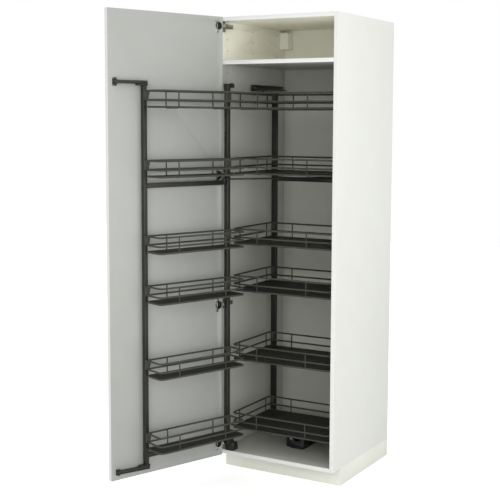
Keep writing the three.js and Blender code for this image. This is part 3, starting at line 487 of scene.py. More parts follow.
def side_faces(n, c):
    """0 outside, 1 front edging, 2 inside, 3 the walls of a drilled hole, darkened as painted shade: those
    lie within the board's thickness, and clear of its four edges."""
    depth = np.abs(c[:, 0])
    inward = np.sign(c[:, 0]) * n[:, 0] < -FACING
    clear = (np.abs(c[:, 1] - HOLES_BACK) < HOLES_BACK_HALF) & (np.abs(c[:, 2] - HOLES_UP) < HOLES_UP_HALF)
    drilled = (depth > HOLE_FROM) & (depth < HOLE_TO) & clear
    return np.select([drilled, n[:, 1] < -FACING, inward], [3, 1, 2], 0)


def shelf_faces(n, c):
    """Front edging where the face looks forward, otherwise the inside finish."""
    return np.where(n[:, 1] < -FACING, 1, 2)


def back_faces(n, c):
    """The inside finish on the face that looks forward, the outside finish on the rest."""
    return np.where(n[:, 1] < -FACING, 2, 0)


def door_faces(n, c):
    """Lacquer on the two broad faces, edging on the rest."""
    return (np.abs(n @ through_door) > FACING).astype(int)


BOARDS = (BOARD, BAND, INSIDE, DARK)
through_door = (door(np.array([[0.0, 1.0, 0.0]])) - door(np.zeros((1, 3))))[0]
for name in ("side_panel_right", "side_panel_left"):
    softened(name, "carcass", BOARDS, side_faces)
for name in ("top_panel", "bottom_panel", "fixed_shelf"):
    softened(name, "carcass", BOARDS, shelf_faces)
softened("back_panel", "carcass", BOARDS, back_faces, 0.0003)
for name in ("plinth_front", "plinth_side_left", "plinth_side_right"):
    softened(name, "carcass", (PLINTH,))
softened("door_panel", "door", (BAND, DOOR_FACE), door_faces, 0.0006)
print("boards softened")

# %% [markdown]
# ## Shelf sockets of the lower compartment
# The side walls carry a row of drilled sockets. The ones in the upper compartment are real holes. The
# ones behind the baskets are only seen as small dark rings, so a turned eyelet in the dark hole finish,
# which is painted shade for the hole, does for each.

# %% Sockets
WALL = 282.0
SOCKET_COLUMNS = (-242.0, -14.0)
SOCKET_ROWS = 1683.0 + 50.0 * np.arange(4)
EYELET = [(0.3, 0.12), (2.3, 0.12), (2.6, 0.05), (2.6, -0.3), (0.3, -0.3)]
# Each eyelet's dark colour is painted shade for the socket's hole.
sockets = [spun(EYELET, (side * WALL, y, z), (-side, 0, 0), 12)
           for side in (-1, 1) for y in SOCKET_COLUMNS for z in SOCKET_ROWS]
piece("lower_sockets", sockets, "carcass", DARK)
print("sockets", len(sockets))

# %% [markdown]
# ## Fittings
# Rails, brackets, arms and housings are true in outline too. They get the same softened edges, which
# catch the light as a moulded or folded edge does.

# %% Softened fittings
for name in ("upper_guide", "floor_slide", "slide_housing", "pivot_bracket_top", "pivot_block"):
    softened(name, "carcass", (BLACK,), width=0.0007)
softened("slide_carriage", "inner_frame", (BLACK,), width=0.0007)
for name in ("arm_bracket_top", "arm_bracket_bottom"):
    softened(name, "door", (POST,), width=0.0005)
for name in ("guide_arm_top", "guide_arm_bottom"):
    softened(name, "door_arms", (POST,), width=0.0008)
print("fittings softened")

# %% [markdown]
# ## Baskets
# A basket is three closed guard rails, a few stays and a floor. Each rail is a round bar bent to a
# rounded rectangle and welded shut, each stay a thinner bar bent to a U that passes under the floor.
# Sweeping a circle along the bent path gives exactly that. The floor is a thin tray whose edge rests on
# the lowest rail. At the back, plates weld the rails to the posts.

# %% Basket wires
RAIL_RADIUS = 4.0
STAY_RADIUS = 3.0
RAIL_CORNER = 18.0
STAY_BEND = 7.0
RAIL_DROPS = (0.0, 38.0, 67.0)
WELD_BITE, STAY_RISE = 0.8, 0.5
TRAY_UNDER, TRAY_OVER, TRAY_INSET = 0.6, 1.0, 0.5
# A basket's last two surfaces are its plates to the posts, and the tray comes just before them.
TRAY_FROM_END = 3
BASKET_TOPS = (1742.0, 1450.0, 1130.0, 915.0, 594.0, 273.0)


def rail(low, high, height):
    """A closed tube along a rounded rectangle at one height."""
    plan = box_outline(low[0], high[0], low[1], high[1], RAIL_CORNER, 7)
    path = np.column_stack([plan, np.full(len(plan), height)])
    return tube(path, RAIL_RADIUS, (0, 0, 1), closed=True)


def stay(first, last, fixed, axis, top):
    """A U-shaped tube: down one side, a quarter bend, under the floor, a quarter bend and up."""
    inner = RAIL_RADIUS + STAY_RADIUS - WELD_BITE
    first, last = first + inner, last - inner
    foot = top - RAIL_DROPS[2] - STAY_RADIUS - TRAY_UNDER
    t = np.linspace(0, np.pi / 2, 5)
    down = np.column_stack([first + STAY_BEND * (1 - np.cos(t)), foot + STAY_BEND * (1 - np.sin(t))])
    up = np.column_stack([last - STAY_BEND * (1 - np.cos(t)), foot + STAY_BEND * (1 - np.sin(t))])[::-1]
    flat = np.concatenate([[[first, top + STAY_RISE]], down, up, [[last, top + STAY_RISE]]])
    return tube(np.insert(flat, axis, fixed, axis=1), STAY_RADIUS, np.eye(3)[axis], sides=10)


def basket(low, high, top, across, lengthways):
    """Three rails, the stays at the given places and the tray."""
    floor = top - RAIL_DROPS[2]
    parts = [rail(low, high, top - drop) for drop in RAIL_DROPS]
    parts += [stay(low[1], high[1], x, 0, top) for x in across]
    parts += [stay(low[0], high[0], y, 1, top) for y in lengthways]
    edge = box_outline(low[0] + TRAY_INSET, high[0] - TRAY_INSET, low[1] + TRAY_INSET,
                       high[1] - TRAY_INSET, RAIL_CORNER, 6)
    return parts + [slab(edge, floor - TRAY_UNDER, floor + TRAY_OVER, 0.4)]


print("rails, stays and tray in a door basket:", len(basket((0, 0), (452, 107), 0, (98, 346), ())))


# %% Door baskets
DOOR_LOW, DOOR_HIGH = (-4.0, 17.0), (448.0, 124.0)
DOOR_STAYS = (98.0, 346.0)
GUSSET_DROP, GUSSET_RISE = 40.0, 2.0
TONGUE_REACH, TONGUE_DROP = 10.0, 5.0
REAR_HALF, FRONT_HALF, FRONT_POST_AT = (9.0, 12.5), (9.0, 11.0), 443.0


def gusset(a, half, inward_sign, face, top):
    """A plate from post to rail: straight beside the post, with a tongue at the top that tapers off."""
    outer, inner = a - inward_sign * half, a + inward_sign * half
    tip = inner + inward_sign * TONGUE_REACH
    foot, rise = top - GUSSET_DROP, top + GUSSET_RISE
    outline = [(outer, foot), (inner, foot), (tip, top - TONGUE_DROP), (tip, rise), (outer, rise)]
    outline = outline if inward_sign > 0 else outline[::-1]
    return slab(outline, face + 0.1, DOOR_LOW[1] + 0.5, 0.7, ALONG_Y)


for number, top in enumerate(BASKET_TOPS, 1):
    surfaces = basket(DOOR_LOW, DOOR_HIGH, top, DOOR_STAYS, ())
    surfaces.append(gusset(0.0, REAR_HALF[0], 1, REAR_HALF[1], top))
    surfaces.append(gusset(FRONT_POST_AT, FRONT_HALF[0], -1, FRONT_HALF[1], top))
    piece(f"door_basket_wires_{number}", surfaces, "door_frame", FRAME, swing,
          [f"door_basket_{number}"], TRAY, (len(surfaces) - TRAY_FROM_END,))
print("door baskets", number)

# %% Inner baskets
INNER_LOW, INNER_HIGH = (-230.0, -277.0), (266.0, 69.7)
STAYS_ACROSS, STAYS_LENGTHWAYS = (-107.0, 143.0), (-227.0, 19.7)
INNER_POST_HALF, INNER_POST_FRONT, INNER_POST_BACK = 14.0, 74.0, 90.0
LEFT_POST_AT = INNER_LOW[0] + INNER_POST_HALF
RIGHT_POST_AT = INNER_HIGH[0] - INNER_POST_HALF
HOOK_HALF, HOOK_DROP, HOOK_RISE = 9.0, 30.0, 2.0
for number, top in enumerate(BASKET_TOPS, 1):
    surfaces = basket(INNER_LOW, INNER_HIGH, top, STAYS_ACROSS, STAYS_LENGTHWAYS)
    for x in (LEFT_POST_AT, RIGHT_POST_AT):
        hook = box_outline(x - HOOK_HALF, x + HOOK_HALF, top - HOOK_DROP, top + HOOK_RISE, 2.0)
        surfaces.append(slab(hook, INNER_HIGH[1], INNER_POST_FRONT - 0.1, 0.6, ALONG_Y))
    piece(f"inner_basket_wires_{number}", surfaces, "inner_frame", DARK_FRAME,
          cabinet, [f"inner_basket_{number}"], TRAY, (len(surfaces) - TRAY_FROM_END,))
print("inner baskets", number)

# %% [markdown]
# ## The slotted rear post
# The rear post is a rectangular tube with pairs of slots punched right through, so that baskets can be
# hung at other heights. The tube is a grid: round the section one way, up the post the other. Faces
# inside a slot are left out, and the slot's four walls join the near face to the far one through the
# same points, so the skin stays closed.


# %% Slotted tube
SLOT_HALF = 4.0
SLOT_HEIGHT = 10.0
SLOT_PITCH = 28.0
# For each pair of slots: a basket's number, from 0 at the top, and the lower slot's foot below its top.
SLOTS_BELOW = ((0, 103.0), (0, 210.0), (2, 124.0), (3, 120.0), (3, 222.0), (4, 114.0))
POST_FOOT, POST_TOP = 137.0, 1778.0
FOOT_ARM, HEAD_ARM = (137.0, 163.0), (1766.0, 1778.0)
PIVOT_BOSS, PIVOT_BORE = 13.0, 5.6


def slotted_post(half, foot, top, slots, corner=2.5):
    """Columns walk the section from slot edge to slot edge; rows stop at each slot's ends."""
    plan = box_outline(-half[0], half[0], -half[1], half[1], corner, 3)
    right = np.array([[half[0], -SLOT_HALF], [half[0], SLOT_HALF]])
    left = -right
    section = np.concatenate([plan[:8], left, plan[8:], right])
    n = len(section)
    levels = np.sort(np.concatenate([[foot, top], slots, slots + SLOT_HEIGHT]))
    points = np.column_stack([np.tile(section, (len(levels), 1)), np.repeat(levels, n)])
    near, far = n - 2, 8
    open_rows = set(np.searchsorted(levels, slots).tolist())
    faces = [face for k, face in enumerate(grid_faces(len(levels), n, False, True))
             if not (k // n in open_rows and k % n in (near, far))]
    for row in open_rows:
        a, b, c, d = row * n + near, row * n + near + 1, row * n + far, row * n + far + 1
        e, f, g, h = a + n, b + n, c + n, d + n
        faces += [[a, d, h, e], [b, f, g, c], [a, b, c, d], [e, h, g, f]]
    return outward(points, faces + end_caps(len(levels), n))


def pivot_arm(low, high):
    """The arm that reaches from the post to its pivot: a rounded end about the bore, then the post."""
    pivot = np.array(FRAME_PIVOT) - np.array(FRAME_ORIGIN[:2])
    x, y = REAR_HALF
    outline = np.concatenate([arc(pivot, PIVOT_BOSS, 90, 270, 9), [[x, -y], [x, y]]])
    return holed_plate(outline, pivot, PIVOT_BORE, low, high)


slots = np.array([BASKET_TOPS[number] - drop for number, drop in SLOTS_BELOW])
slots = np.concatenate([slots, slots + SLOT_PITCH])
rear = [slotted_post(REAR_HALF, POST_FOOT, POST_TOP, slots), pivot_arm(*FOOT_ARM), pivot_arm(*HEAD_ARM)]
piece("rear_post_tube", rear, "door_frame", POST, swing, ["rear_post"])
print("slots in the rear post", len(slots))

# %% [markdown]
# ## Front post, cross bars and crank
# The other bars are plain rounded tubes. The front post ends in two shoes that ride on the guide arms,
# and the middle bar carries a small crank plate with the pin that pushes the rod.

# %% Bars of the swinging frame
FRONT_FOOT, FRONT_TOP, SHOE = 132.0, 1764.0, 6.5
SHOE_BEFORE, SHOE_AFTER, SHOE_HALF = 16.0, 36.0, 12.0
post = box_outline(FRONT_POST_AT - FRONT_HALF[0], FRONT_POST_AT + FRONT_HALF[0],
                   -FRONT_HALF[1], FRONT_HALF[1], 2.5)
shoe = box_outline(FRONT_POST_AT - SHOE_BEFORE, FRONT_POST_AT + SHOE_AFTER, -SHOE_HALF, SHOE_HALF, 4.0)
front = [slab(post, FRONT_FOOT - 0.5, FRONT_TOP + 0.5, 0.3),
         slab(shoe, FRONT_FOOT - SHOE, FRONT_FOOT, 1.2), slab(shoe, FRONT_TOP, FRONT_TOP + SHOE, 1.2)]
piece("front_post_tube", front, "door_frame", POST, swing, ["front_post"])

LOWER_BAR, MIDDLE_BAR, BAR_HEIGHT, BAR_CORNER = 161.0, 1333.0, 20.0, 2.0
CRANK = (36.15, 25.0)
PLATE_LOW, PLATE_HIGH, PLATE_HALF = 1344.0, 1349.0, 14.0
PIN_TOP = 1366.0


def cross_bar(level):
    """A rounded bar from the rear post's face to the front post's."""
    section = box_outline(-6.0, 6.0, level, level + BAR_HEIGHT, BAR_CORNER)
    return slab(section, REAR_HALF[0], FRONT_POST_AT - FRONT_HALF[0], 0.2, ALONG_X)


piece("lower_cross_bar", [cross_bar(LOWER_BAR)], "door_frame", POST, swing,
      ["crossbar_bottom"])
plate_root = [[CRANK[0] - PLATE_HALF, 2.0], [CRANK[0] + PLATE_HALF, 2.0]]
plate = np.concatenate([arc(CRANK, 9.0, 0, 180, 9), plate_root])
pin = spun([(3.5, PLATE_LOW), (3.5, PIN_TOP - 1), (2.6, PIN_TOP)], (*CRANK, 0), sides=20)
middle = [cross_bar(MIDDLE_BAR), slab(plate, PLATE_LOW, PLATE_HIGH, 1.0), pin]
piece("middle_cross_bar", middle, "door_frame", POST, swing, ["crossbar_middle"])
print("surfaces in the middle bar:", len(middle))

# %% [markdown]
# ## The sliding frame
# Two upright tubes and two beams carry the deep baskets. The left upright ends in a plate with a roller
# that runs in the channel on the wall, and a seat on the middle beam takes the rod's end.

# %% Uprights, beams and roller
INNER_FOOT, INNER_TOP = 166.0, 1747.0
ROLLER_AT, ROLLER_LOW, ROLLER_RADIUS = (-270.5, 60.0), 1769.0, 8.2
FOOT_BEAM = 146.0
ROD_SEAT, SEAT_TOP = (150.0, 82.0), 1354.0


def upright_tube(x):
    """The rectangular tube of one upright, its corners rounded by 2.5 mm."""
    plan = box_outline(x - INNER_POST_HALF, x + INNER_POST_HALF, INNER_POST_FRONT, INNER_POST_BACK, 2.5)
    return slab(plan, INNER_FOOT, INNER_TOP, 0.4)


arm_root = LEFT_POST_AT + INNER_POST_HALF
arm = np.concatenate([arc(ROLLER_AT, 8.0, 110, 290, 9),
                      [[arm_root, INNER_POST_FRONT], [arm_root, INNER_POST_BACK]]])
axle = spun([(3, INNER_TOP), (3, ROLLER_LOW)], (*ROLLER_AT, 0), sides=16)
wheel = [(ROLLER_RADIUS - 1, 0), (ROLLER_RADIUS, 1), (ROLLER_RADIUS, 9), (ROLLER_RADIUS - 1, 10), (4, 10),
         (4, 11)]
roller = spun(wheel, (*ROLLER_AT, ROLLER_LOW))
upright = [upright_tube(LEFT_POST_AT), slab(arm, INNER_TOP - 0.5, INNER_TOP + 3, 0.8), axle, roller]
piece("left_upright", upright, "inner_frame", DARK_POST, cabinet,
      ["inner_post_left"])
piece("right_upright", [upright_tube(RIGHT_POST_AT)], "inner_frame", DARK_POST,
      cabinet, ["inner_post_right"])


def inner_beam(level, x0, x1):
    """A rounded beam as deep as the uprights, from x0 to x1."""
    section = box_outline(INNER_POST_FRONT, INNER_POST_BACK, level, level + BAR_HEIGHT, BAR_CORNER)
    return slab(section, x0, x1, 0.2, ALONG_X)


seat = spun([(6, SEAT_TOP - 2), (6, SEAT_TOP - 0.6), (5.4, SEAT_TOP)], (*ROD_SEAT, 0), sides=20)
beam = inner_beam(MIDDLE_BAR, LEFT_POST_AT + INNER_POST_HALF, RIGHT_POST_AT - INNER_POST_HALF)
piece("middle_beam", [beam, seat], "inner_frame", DARK_POST, cabinet,
      ["inner_beam_middle"])
foot_beam = inner_beam(FOOT_BEAM, LEFT_POST_AT - INNER_POST_HALF, RIGHT_POST_AT + INNER_POST_HALF)
piece("foot_beam", [foot_beam], "inner_frame", DARK_POST, cabinet,
      ["inner_beam_bottom"])
print("clear width between the uprights, mm:", RIGHT_POST_AT - LEFT_POST_AT - 2 * INNER_POST_HALF)

# %% [markdown]
# ## The drive rod
# A round rod with a flat eye at each end carries the swing of the door frame to the sliding frame. It
# crosses the opening just under the second basket, so it is seen as one straight line.

# %% Rod with two eyes
ROD_RADIUS, ROD_POINTS = 3.8, 12
EYE_RADIUS, EYE_BORE, EYE_LOW, EYE_HIGH, IN_EYE = 9.0, 4.0, 1355.5, 1363.5, 6.0
start = turned(np.array([[*CRANK, 0.0]]) + FRAME_ORIGIN, FRAME_PIVOT, -OPEN)[0, :2]
end = np.array(ROD_SEAT)
direction = (end - start) / np.linalg.norm(end - start)
share = np.linspace(0, 1, ROD_POINTS)[:, None]
line = (start + direction * IN_EYE) * (1 - share) + (end - direction * IN_EYE) * share
middle_height = np.full(ROD_POINTS, (EYE_LOW + EYE_HIGH) / 2)
rod = [tube(np.column_stack([line, middle_height]), ROD_RADIUS, (0, 0, 1), sides=16),
       holed_plate(disc_outline(start, EYE_RADIUS), start, EYE_BORE, EYE_LOW, EYE_HIGH, 1.2),
       slab(disc_outline(end, EYE_RADIUS), EYE_LOW, EYE_HIGH, 1.2)]
piece("rod_with_eyes", rod, "drive_rod", POST, cabinet, ["drive_rod"])
print("rod length, mm:", round(float(np.linalg.norm(end - start)), 1))

# %% [markdown]
# ## Concealed hinges
# Each hinge has a cup sunk in the door, with two screwed wings, and a folded steel arm on the cabinet
# wall over a mounting plate. The cup is a turned bowl with its inside turned back up, so it is truly
# hollow. Its wall and rim are left open on the side towards the door's middle, which is where the
# link comes in when the door shuts. A plain turned rim would have closed that way in.

# %% Cups
HINGE_LEVELS = (2038.0, 1376.0, 784.0, 137.0)
CUP_AT, WING_AT = 22.5, 32.0
CUP_SIDES, CUP_GAP = 48, 31.0
CUP_TOP, CUP_DIP = 1.0, -4.5
RIM_OUTER, RIM_INNER, RIM_TOP, CLEAR = 18.6, 15.9, 2.2, 0.05
WING_X, WING_HEIGHT, WING_LOWS, WING_TOP = (24.0, 41.0), 17.0, (-31.0, 14.0), 1.8
WING_SCREW_OUT = 23.0
CUP_PIN_AT, CUP_PIN_DEPTH, CUP_PIN_HALF = 28.5, -4.0, 9.0


def notched_bowl(level):
    """A turned bowl: radius and depth follow the profile, and the wall's top, 1 mm above the door, dips
    to 4.5 mm below it within 31 degrees of the direction to the door's middle."""
    t = np.linspace(0, 2 * np.pi, CUP_SIDES, endpoint=False)
    top = np.where(np.abs(np.angle(np.exp(1j * t))) < math.radians(CUP_GAP), CUP_DIP, CUP_TOP)
    radius = np.array([2.0, 13.5, 15.6, 15.9, 16.6, 16.6, 2.0])[:, None]
    depth = np.array([-11.0, -11.0, -9.5, 0.0, 0.0, -11.9, -11.9])[:, None] + 0 * t
    depth[3:5] = top
    points = np.stack([CUP_AT + radius * np.cos(t), depth, level + radius * np.sin(t)], -1).reshape(-1, 3)
    rings = len(radius)
    return outward(points, grid_faces(rings, CUP_SIDES, False, True) + end_caps(rings, CUP_SIDES))


def cup_surfaces(level):
    """The bowl, its open rim, the pin inside, two wings and their screws."""
    outer = arc((CUP_AT, level), RIM_OUTER, CUP_GAP, 360 - CUP_GAP, 31)
    inner = arc((CUP_AT, level), RIM_INNER, 360 - CUP_GAP, CUP_GAP, 31)
    rim = slab(np.concatenate([outer, inner]), CLEAR, RIM_TOP, 0.6, ALONG_Y)
    wings = [slab(box_outline(*WING_X, level + low, level + low + WING_HEIGHT, 4.5), CLEAR, WING_TOP, 0.6,
                  ALONG_Y) for low in WING_LOWS]
    screws = [screw((WING_AT, WING_TOP, level + side * WING_SCREW_OUT), (0, 1, 0), 3.6) for side in (-1, 1)]
    pin = tube([[CUP_PIN_AT, CUP_PIN_DEPTH, level - CUP_PIN_HALF],
                [CUP_PIN_AT, CUP_PIN_DEPTH, level + CUP_PIN_HALF]], 2.2, (1, 0, 0))
    return [notched_bowl(level), rim, pin] + wings + screws


# The bowl, surface 0, takes the dark cup finish, which is painted shade.
for number, level in enumerate(HINGE_LEVELS, 1):
    piece(f"hinge_cup_detail_{number}", cup_surfaces(level), "door", NICKEL, door,
          [f"hinge_cup_{number}"], SHADED, (0,))
print("hinge cups", number)

# %% Arms on the wall
# Along an arm, places are the cabinet frame's y. Out from the left wall they are x, and the wall is
# at minus WALL.
ARM_FRONT, ARM_BACK, ARM_HALF, STEEL = -299.8, -235.0, 9.5, 1.8
PLATE_FRONT, PLATE_BACK, PLATE_REACH, PLATE_SCREW_OUT = -288.0, -264.0, 24.0, 18.5
STEM_FRONT, STEM_BACK, STEM_HALF = -258.0, -240.0, 7.0
PLATE_FACE, ROOF_FACE = 2.4 - WALL, 23.4 - WALL
ARM_SCREWS = ((ROOF_FACE + 1.7, -272, 0.0, 3.0, 1.0), (ROOF_FACE + 1.7, -248, 0.0, 3.6, 1.2),
              (PLATE_FACE, -276, PLATE_SCREW_OUT, 3.2, 1.2), (PLATE_FACE, -276, -PLATE_SCREW_OUT, 3.2, 1.2))


def on_wall(front, back, low, high, corner, base, top, rounding):
    """A rounded block at the left wall: y from front to back, z from low to high, x from base to top."""
    return slab(box_outline(front, back, low, high, corner), base, top, rounding, ALONG_X)


def arm_surfaces(level):
    """The mounting plate, the arm's roof, its stem, its two folded walls and four screws. A screw's
    five numbers are its x, its y, its height above the level, its radius and its dome."""
    base = on_wall(PLATE_FRONT, PLATE_BACK, level - PLATE_REACH, level + PLATE_REACH, 6.0,
                   CLEAR - WALL, PLATE_FACE + 0.1, 0.6)
    roof = on_wall(ARM_FRONT, ARM_BACK, level - ARM_HALF, level + ARM_HALF, 3.0,
                   ROOF_FACE, ROOF_FACE + STEEL, 0.7)
    walls = [on_wall(ARM_FRONT, ARM_BACK - 3.0, level + low, level + low + STEEL, 0.5,
                     PLATE_FACE, ROOF_FACE + 1.0, 0.3) for low in (-ARM_HALF, ARM_HALF - STEEL)]
    stem = on_wall(STEM_FRONT, STEM_BACK, level - STEM_HALF, level + STEM_HALF, 2.0,
                   PLATE_FACE, ROOF_FACE + 0.2, 0.4)
    screws = [screw((x, y, level + rise), (1, 0, 0), radius, dome) for x, y, rise, radius, dome in ARM_SCREWS]
    return [base, roof, stem] + walls + screws


for number, level in enumerate(HINGE_LEVELS, 1):
    piece(f"hinge_arm_detail_{number}", arm_surfaces(level), "carcass", NICKEL, cabinet,
          [f"hinge_arm_{number}"])
print("hinge arms", number)

# %% [markdown]
# ## Links between arm and cup
# The real hinge folds on several small links. One curved strap that turns about the door's own line
# stands for them, with a bright rolled barrel at mid length and a hook at the cup's end. Its edges are
# arcs about that line, so it sweeps along itself as the door moves.

# %% Straps and barrels
LINK_HALF = 6.5
BARREL = [(2.6, -6.4), (3.2, -5.8), (3.2, 5.8), (2.6, 6.4)]
STRAP_OUTER, STRAP_INNER, HOOK_RADIUS = 36.0, 33.2, 26.1
STRAP_FROM, STRAP_TO, HOOK_ANGLE, BARREL_ANGLE = 6.0, 46.0, 10.5, 27.0
strap = np.concatenate([arc(DOOR_PIVOT, STRAP_OUTER, STRAP_FROM, STRAP_TO, 9),
                        arc(DOOR_PIVOT, STRAP_INNER, STRAP_TO, STRAP_FROM + 5, 8),
                        arc(DOOR_PIVOT, STRAP_INNER, HOOK_ANGLE, HOOK_ANGLE, 1),
                        arc(DOOR_PIVOT, HOOK_RADIUS, HOOK_ANGLE, STRAP_FROM, 2)])
barrel_at = arc(DOOR_PIVOT, (STRAP_OUTER + STRAP_INNER) / 2, BARREL_ANGLE, BARREL_ANGLE, 1)[0]
for number, level in enumerate(HINGE_LEVELS, 1):
    barrel = spun(BARREL, (*barrel_at, level), sides=20)
    piece(f"hinge_link_detail_{number}", [slab(strap, level - LINK_HALF, level + LINK_HALF, 0.3), barrel],
          "hinge_links", NICKEL, cabinet, [f"hinge_link_{number}"])
print("links", number)

# %% [markdown]
# ## Screws, pins and caps
# Small heads and ends show how the fittings are held: screws in the door's upper bracket, the pivot
# bracket and the wall channel, heads on the guide arms' two pins, a cap over the frame's pivot and the
# bright end of the damper. Each is a screw head or a short turned form, set on the face that carries it.

# %% Bracket and channel screws
CHANNEL_SCREWS = ((-56.0, 1781.0), (-34.0, 1774.0), (222.0, 1774.0))
BRACKET_SCREW_LEVELS = (1765.0, 1791.0)
PIVOT_SCREW_PLACES = (-266.0, -249.0)
PIN_HEAD_LEVELS = (1789.5, 129.5)
channel = [screw((-259.0, y, z), (1, 0, 0), 3.6, 1.2) for y, z in CHANNEL_SCREWS]
piece("channel_screws", channel, "carcass", NICKEL)
brackets = [screw((569.0, 2.4, z), (0, 1, 0), 2.8, 1.0) for z in BRACKET_SCREW_LEVELS]
piece("bracket_screws", brackets, "door", NICKEL, door)
pivot_screws = [screw((-279.0, y, 1764.0), (1, 0, 0), 3.0, 1.0) for y in PIVOT_SCREW_PLACES]
piece("pivot_bracket_screws", pivot_screws, "carcass", NICKEL)
pin_head = [(4.6, 0), (4.6, 1.2), (3.4, 2.2)]
heads = [spun(pin_head, (567, 11, z), (0, 0, 1), 20) for z in PIN_HEAD_LEVELS]
piece("arm_pin_heads", heads, "door", POST, door)
damper = spun([(5.0, 0), (5.5, 0.6), (5.5, 7.0)], (-8, -119.0, 142), (0, 1, 0))
piece("damper_end", [damper], "carcass", NICKEL, cabinet, ["slide_damper_pin"])
post_cap = spun([(7.5, 0), (7.5, 2.4), (5.5, 3.4)], (*FRAME_PIVOT, 1784), (0, 0, 1), 24)
piece("top_pivot_cap", [post_cap], "carcass", BLACK)
print("screws on channel and brackets:", len(channel) + len(brackets) + len(pivot_screws))

# %% [markdown]
# ## Hanger covers
# In each upper back corner a moulded cap hides the bracket that the cabinet hangs from. It is a plain
# box with soft corners, so a slab with a large rounding does, and a turned plug closes its screw hole.

# %% Hanger covers
COVER_NEAR, COVER_FAR = 236.0, 281.9
COVER_FRONT, COVER_BACK = 243.0, 296.9
COVER_LOW, COVER_HIGH = 1969.0, 2049.0
PLUG = [(4.2, 0), (4.2, 0.8), (3.2, 0.8), (2.6, -1.0)]
for name, x0, x1 in (("left", -COVER_FAR, -COVER_NEAR), ("right", COVER_NEAR, COVER_FAR)):
    plan = box_outline(x0, x1, COVER_FRONT, COVER_BACK, 4.0, 5)
    plug_at = ((x0 + x1) / 2, COVER_FRONT + 0.4, (COVER_LOW + COVER_HIGH) / 2)
    surfaces = [slab(plan, COVER_LOW, COVER_HIGH, 2.5, steps=5), spun(PLUG, plug_at, (0, -1, 0))]
    piece(f"hanger_cover_{name}", surfaces, "carcass", WHITE, cabinet,
          [f"suspension_cover_{name}"])
print("cover height, mm:", COVER_HIGH - COVER_LOW)

# %% [markdown]
# ## Levelling legs
# Behind the plinth the cabinet stands on four screw legs. A leg is round all the way up, so it is one
# turned profile: a broad foot, a finely ribbed shaft and a wide head under the bottom board.

# %% Levelling legs
LEG_FOOT = [(20, 0), (23, 0.8), (24, 3), (24, 6), (17, 13)]
LEG_HEAD = [(15.5, 68), (32, 74), (34, 76), (34, 80)]
RIBS, RIB_DEPTH, SHAFT_RADIUS, SHAFT_FROM, SHAFT_TO = 21, 0.8, 15.0, 16, 66
MILLIMETRES = 1000
for name in ("front_left", "front_right", "back_left", "back_right"):
    low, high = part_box(f"leg_{name}")
    middle = [(a + b) / 2 * MILLIMETRES for a, b in zip(low, high)]
    centre = (middle[0], middle[1] - CENTRE_BACK, 0)
    rib_radius = SHAFT_RADIUS - RIB_DEPTH * (np.arange(RIBS) % 2)
    shaft = np.column_stack([rib_radius, np.linspace(SHAFT_FROM, SHAFT_TO, RIBS)])
    profile = LEG_FOOT + shaft.tolist() + LEG_HEAD
    piece(f"leg_turned_{name}", [spun(profile, centre, sides=40)], "carcass", BLACK, cabinet,
          [f"leg_{name}"])
print("points in a leg's profile:", len(profile))

# %% [markdown]
# ## Floor and light
# The photograph is a plain cut-out on white with soft, even light, a little stronger from the front
# right. A pale floor and a white surround give that, and the lamps stay low enough for white boards to
# keep their tone.

# %% Floor and surround
FLOOR_HALF = 9.0
FLOOR_GLOW = 0.55
AMBIENT = 0.71
floor = bpy.data.objects.new("floor", bpy.data.meshes.new("floor"))
corners = [(-FLOOR_HALF, -FLOOR_HALF, 0), (FLOOR_HALF, -FLOOR_HALF, 0), (FLOOR_HALF, FLOOR_HALF, 0),
           (-FLOOR_HALF, FLOOR_HALF, 0)]
floor.data.from_pydata(corners, [], [(0, 1, 2, 3)])
bpy.context.scene.collection.objects.link(floor)
paper = bpy.data.materials.new("pale_floor")
paper.use_nodes = True
shader = paper.node_tree.nodes["Principled BSDF"]
shader.inputs["Base Color"].default_value = (0.9, 0.9, 0.9, 1)
shader.inputs["Roughness"].default_value = 0.95
shader.inputs["Emission Color"].default_value = (1, 1, 1, 1)
seen = paper.node_tree.nodes.new("ShaderNodeLightPath")
glow = add(paper.node_tree, "ShaderNodeMapRange", **{"To Min": 0.0, "To Max": FLOOR_GLOW})
paper.node_tree.links.new(seen.outputs["Is Camera Ray"], glow.inputs["Value"])
paper.node_tree.links.new(glow.outputs["Result"], shader.inputs["Emission Strength"])
floor.data.materials.append(paper)
floor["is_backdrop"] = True

world = bpy.data.worlds.new("soft_surround")
bpy.context.scene.world = world
world.use_nodes = True
tree = world.node_tree
ground = tree.nodes["Background"]
ground.inputs["Color"].default_value = (1, 1, 1, 1)
ray = tree.nodes.new("ShaderNodeLightPath")
seen_or_mirrored = tree.nodes.new("ShaderNodeMath")
white_ray = tree.nodes.new("ShaderNodeMath")
seen_or_mirrored.operation = white_ray.operation = "MAXIMUM"
tree.links.new(ray.outputs["Is Camera Ray"], seen_or_mirrored.inputs[0])
tree.links.new(ray.outputs["Is Glossy Ray"], seen_or_mirrored.inputs[1])
tree.links.new(seen_or_mirrored.outputs[0], white_ray.inputs[0])
tree.links.new(ray.outputs["Is Transmission Ray"], white_ray.inputs[1])
brightness = add(tree, "ShaderNodeMapRange", **{"To Min": AMBIENT, "To Max": 1.0})
tree.links.new(white_ray.outputs[0], brightness.inputs["Value"])
tree.links.new(brightness.outputs["Result"], ground.inputs["Strength"])
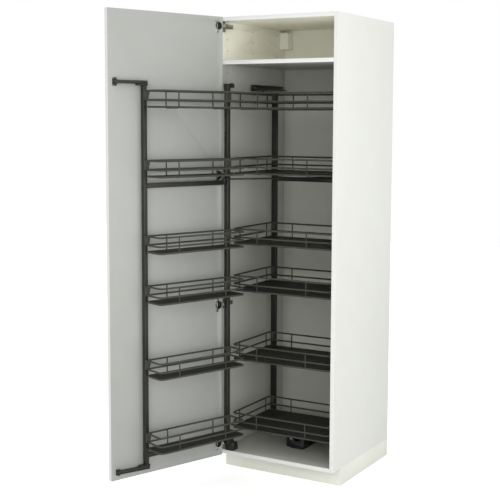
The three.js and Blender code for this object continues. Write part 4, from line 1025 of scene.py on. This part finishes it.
print("surround lights the cabinet at", AMBIENT, "and is seen at 1.0")


# %% Lamps
FRONT_POWER, RIGHT_POWER = 82, 44


def lamp(name, place, target, size, power):
    """A square soft lamp, turned so that its face looks at the target."""
    light = bpy.data.lights.new(name, "AREA")
    light.size, light.energy = size, power
    holder = bpy.data.objects.new(name, light)
    bpy.context.scene.collection.objects.link(holder)
    holder.location = place
    to = np.array(target, float) - np.array(place, float)
    pitch = math.atan2(math.hypot(to[0], to[1]), -to[2])
    holder.rotation_euler = (pitch, 0, math.atan2(to[0], -to[1]) + math.pi)
    return holder


lamp("front_soft", (2.0, -4.3, 1.5), (0.0, 0.0, 1.1), 3.2, FRONT_POWER)
lamp("right_soft", (4.6, -1.4, 0.6), (0.0, -0.1, 0.6), 3.0, RIGHT_POWER)
print("lamps set")

# %% [markdown]
# ## The camera
# The camera's place, its lens and the point of the picture that it looks straight at were found from
# the cabinet's own edges. The photograph's upright edges hardly lean, which a strong lens shift would
# give, but that much shift throws the object out of the picture from other sides. So the camera tilts
# down by under six degrees and shifts only a little.

# %% Camera
PICTURE, SENSOR = 500, 36.0
LENS_IN_PIXELS = 1061.2
STRAIGHT_AT = (269.9, 226.6)
TILT, ROLL, TURN = 84.295, -0.30, 29.59
camera = bpy.data.objects.new("camera", bpy.data.cameras.new("camera"))
bpy.context.scene.collection.objects.link(camera)
camera.location = (2.2880, -4.3771 + CENTRE_BACK / MILLIMETRES, 1.6206)
camera.rotation_euler = (math.radians(TILT), math.radians(ROLL), math.radians(TURN))
camera.data.sensor_width = SENSOR
camera.data.lens = LENS_IN_PIXELS / PICTURE * SENSOR
camera.data.shift_x = (PICTURE / 2 - STRAIGHT_AT[0]) / PICTURE
camera.data.shift_y = (STRAIGHT_AT[1] - PICTURE / 2) / PICTURE
print("shift:", round(camera.data.shift_x, 3), round(camera.data.shift_y, 3))
bpy.context.scene.camera = camera
bpy.context.scene.view_settings.view_transform = "Standard"

# %% Sizes, then finish
low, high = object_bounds()
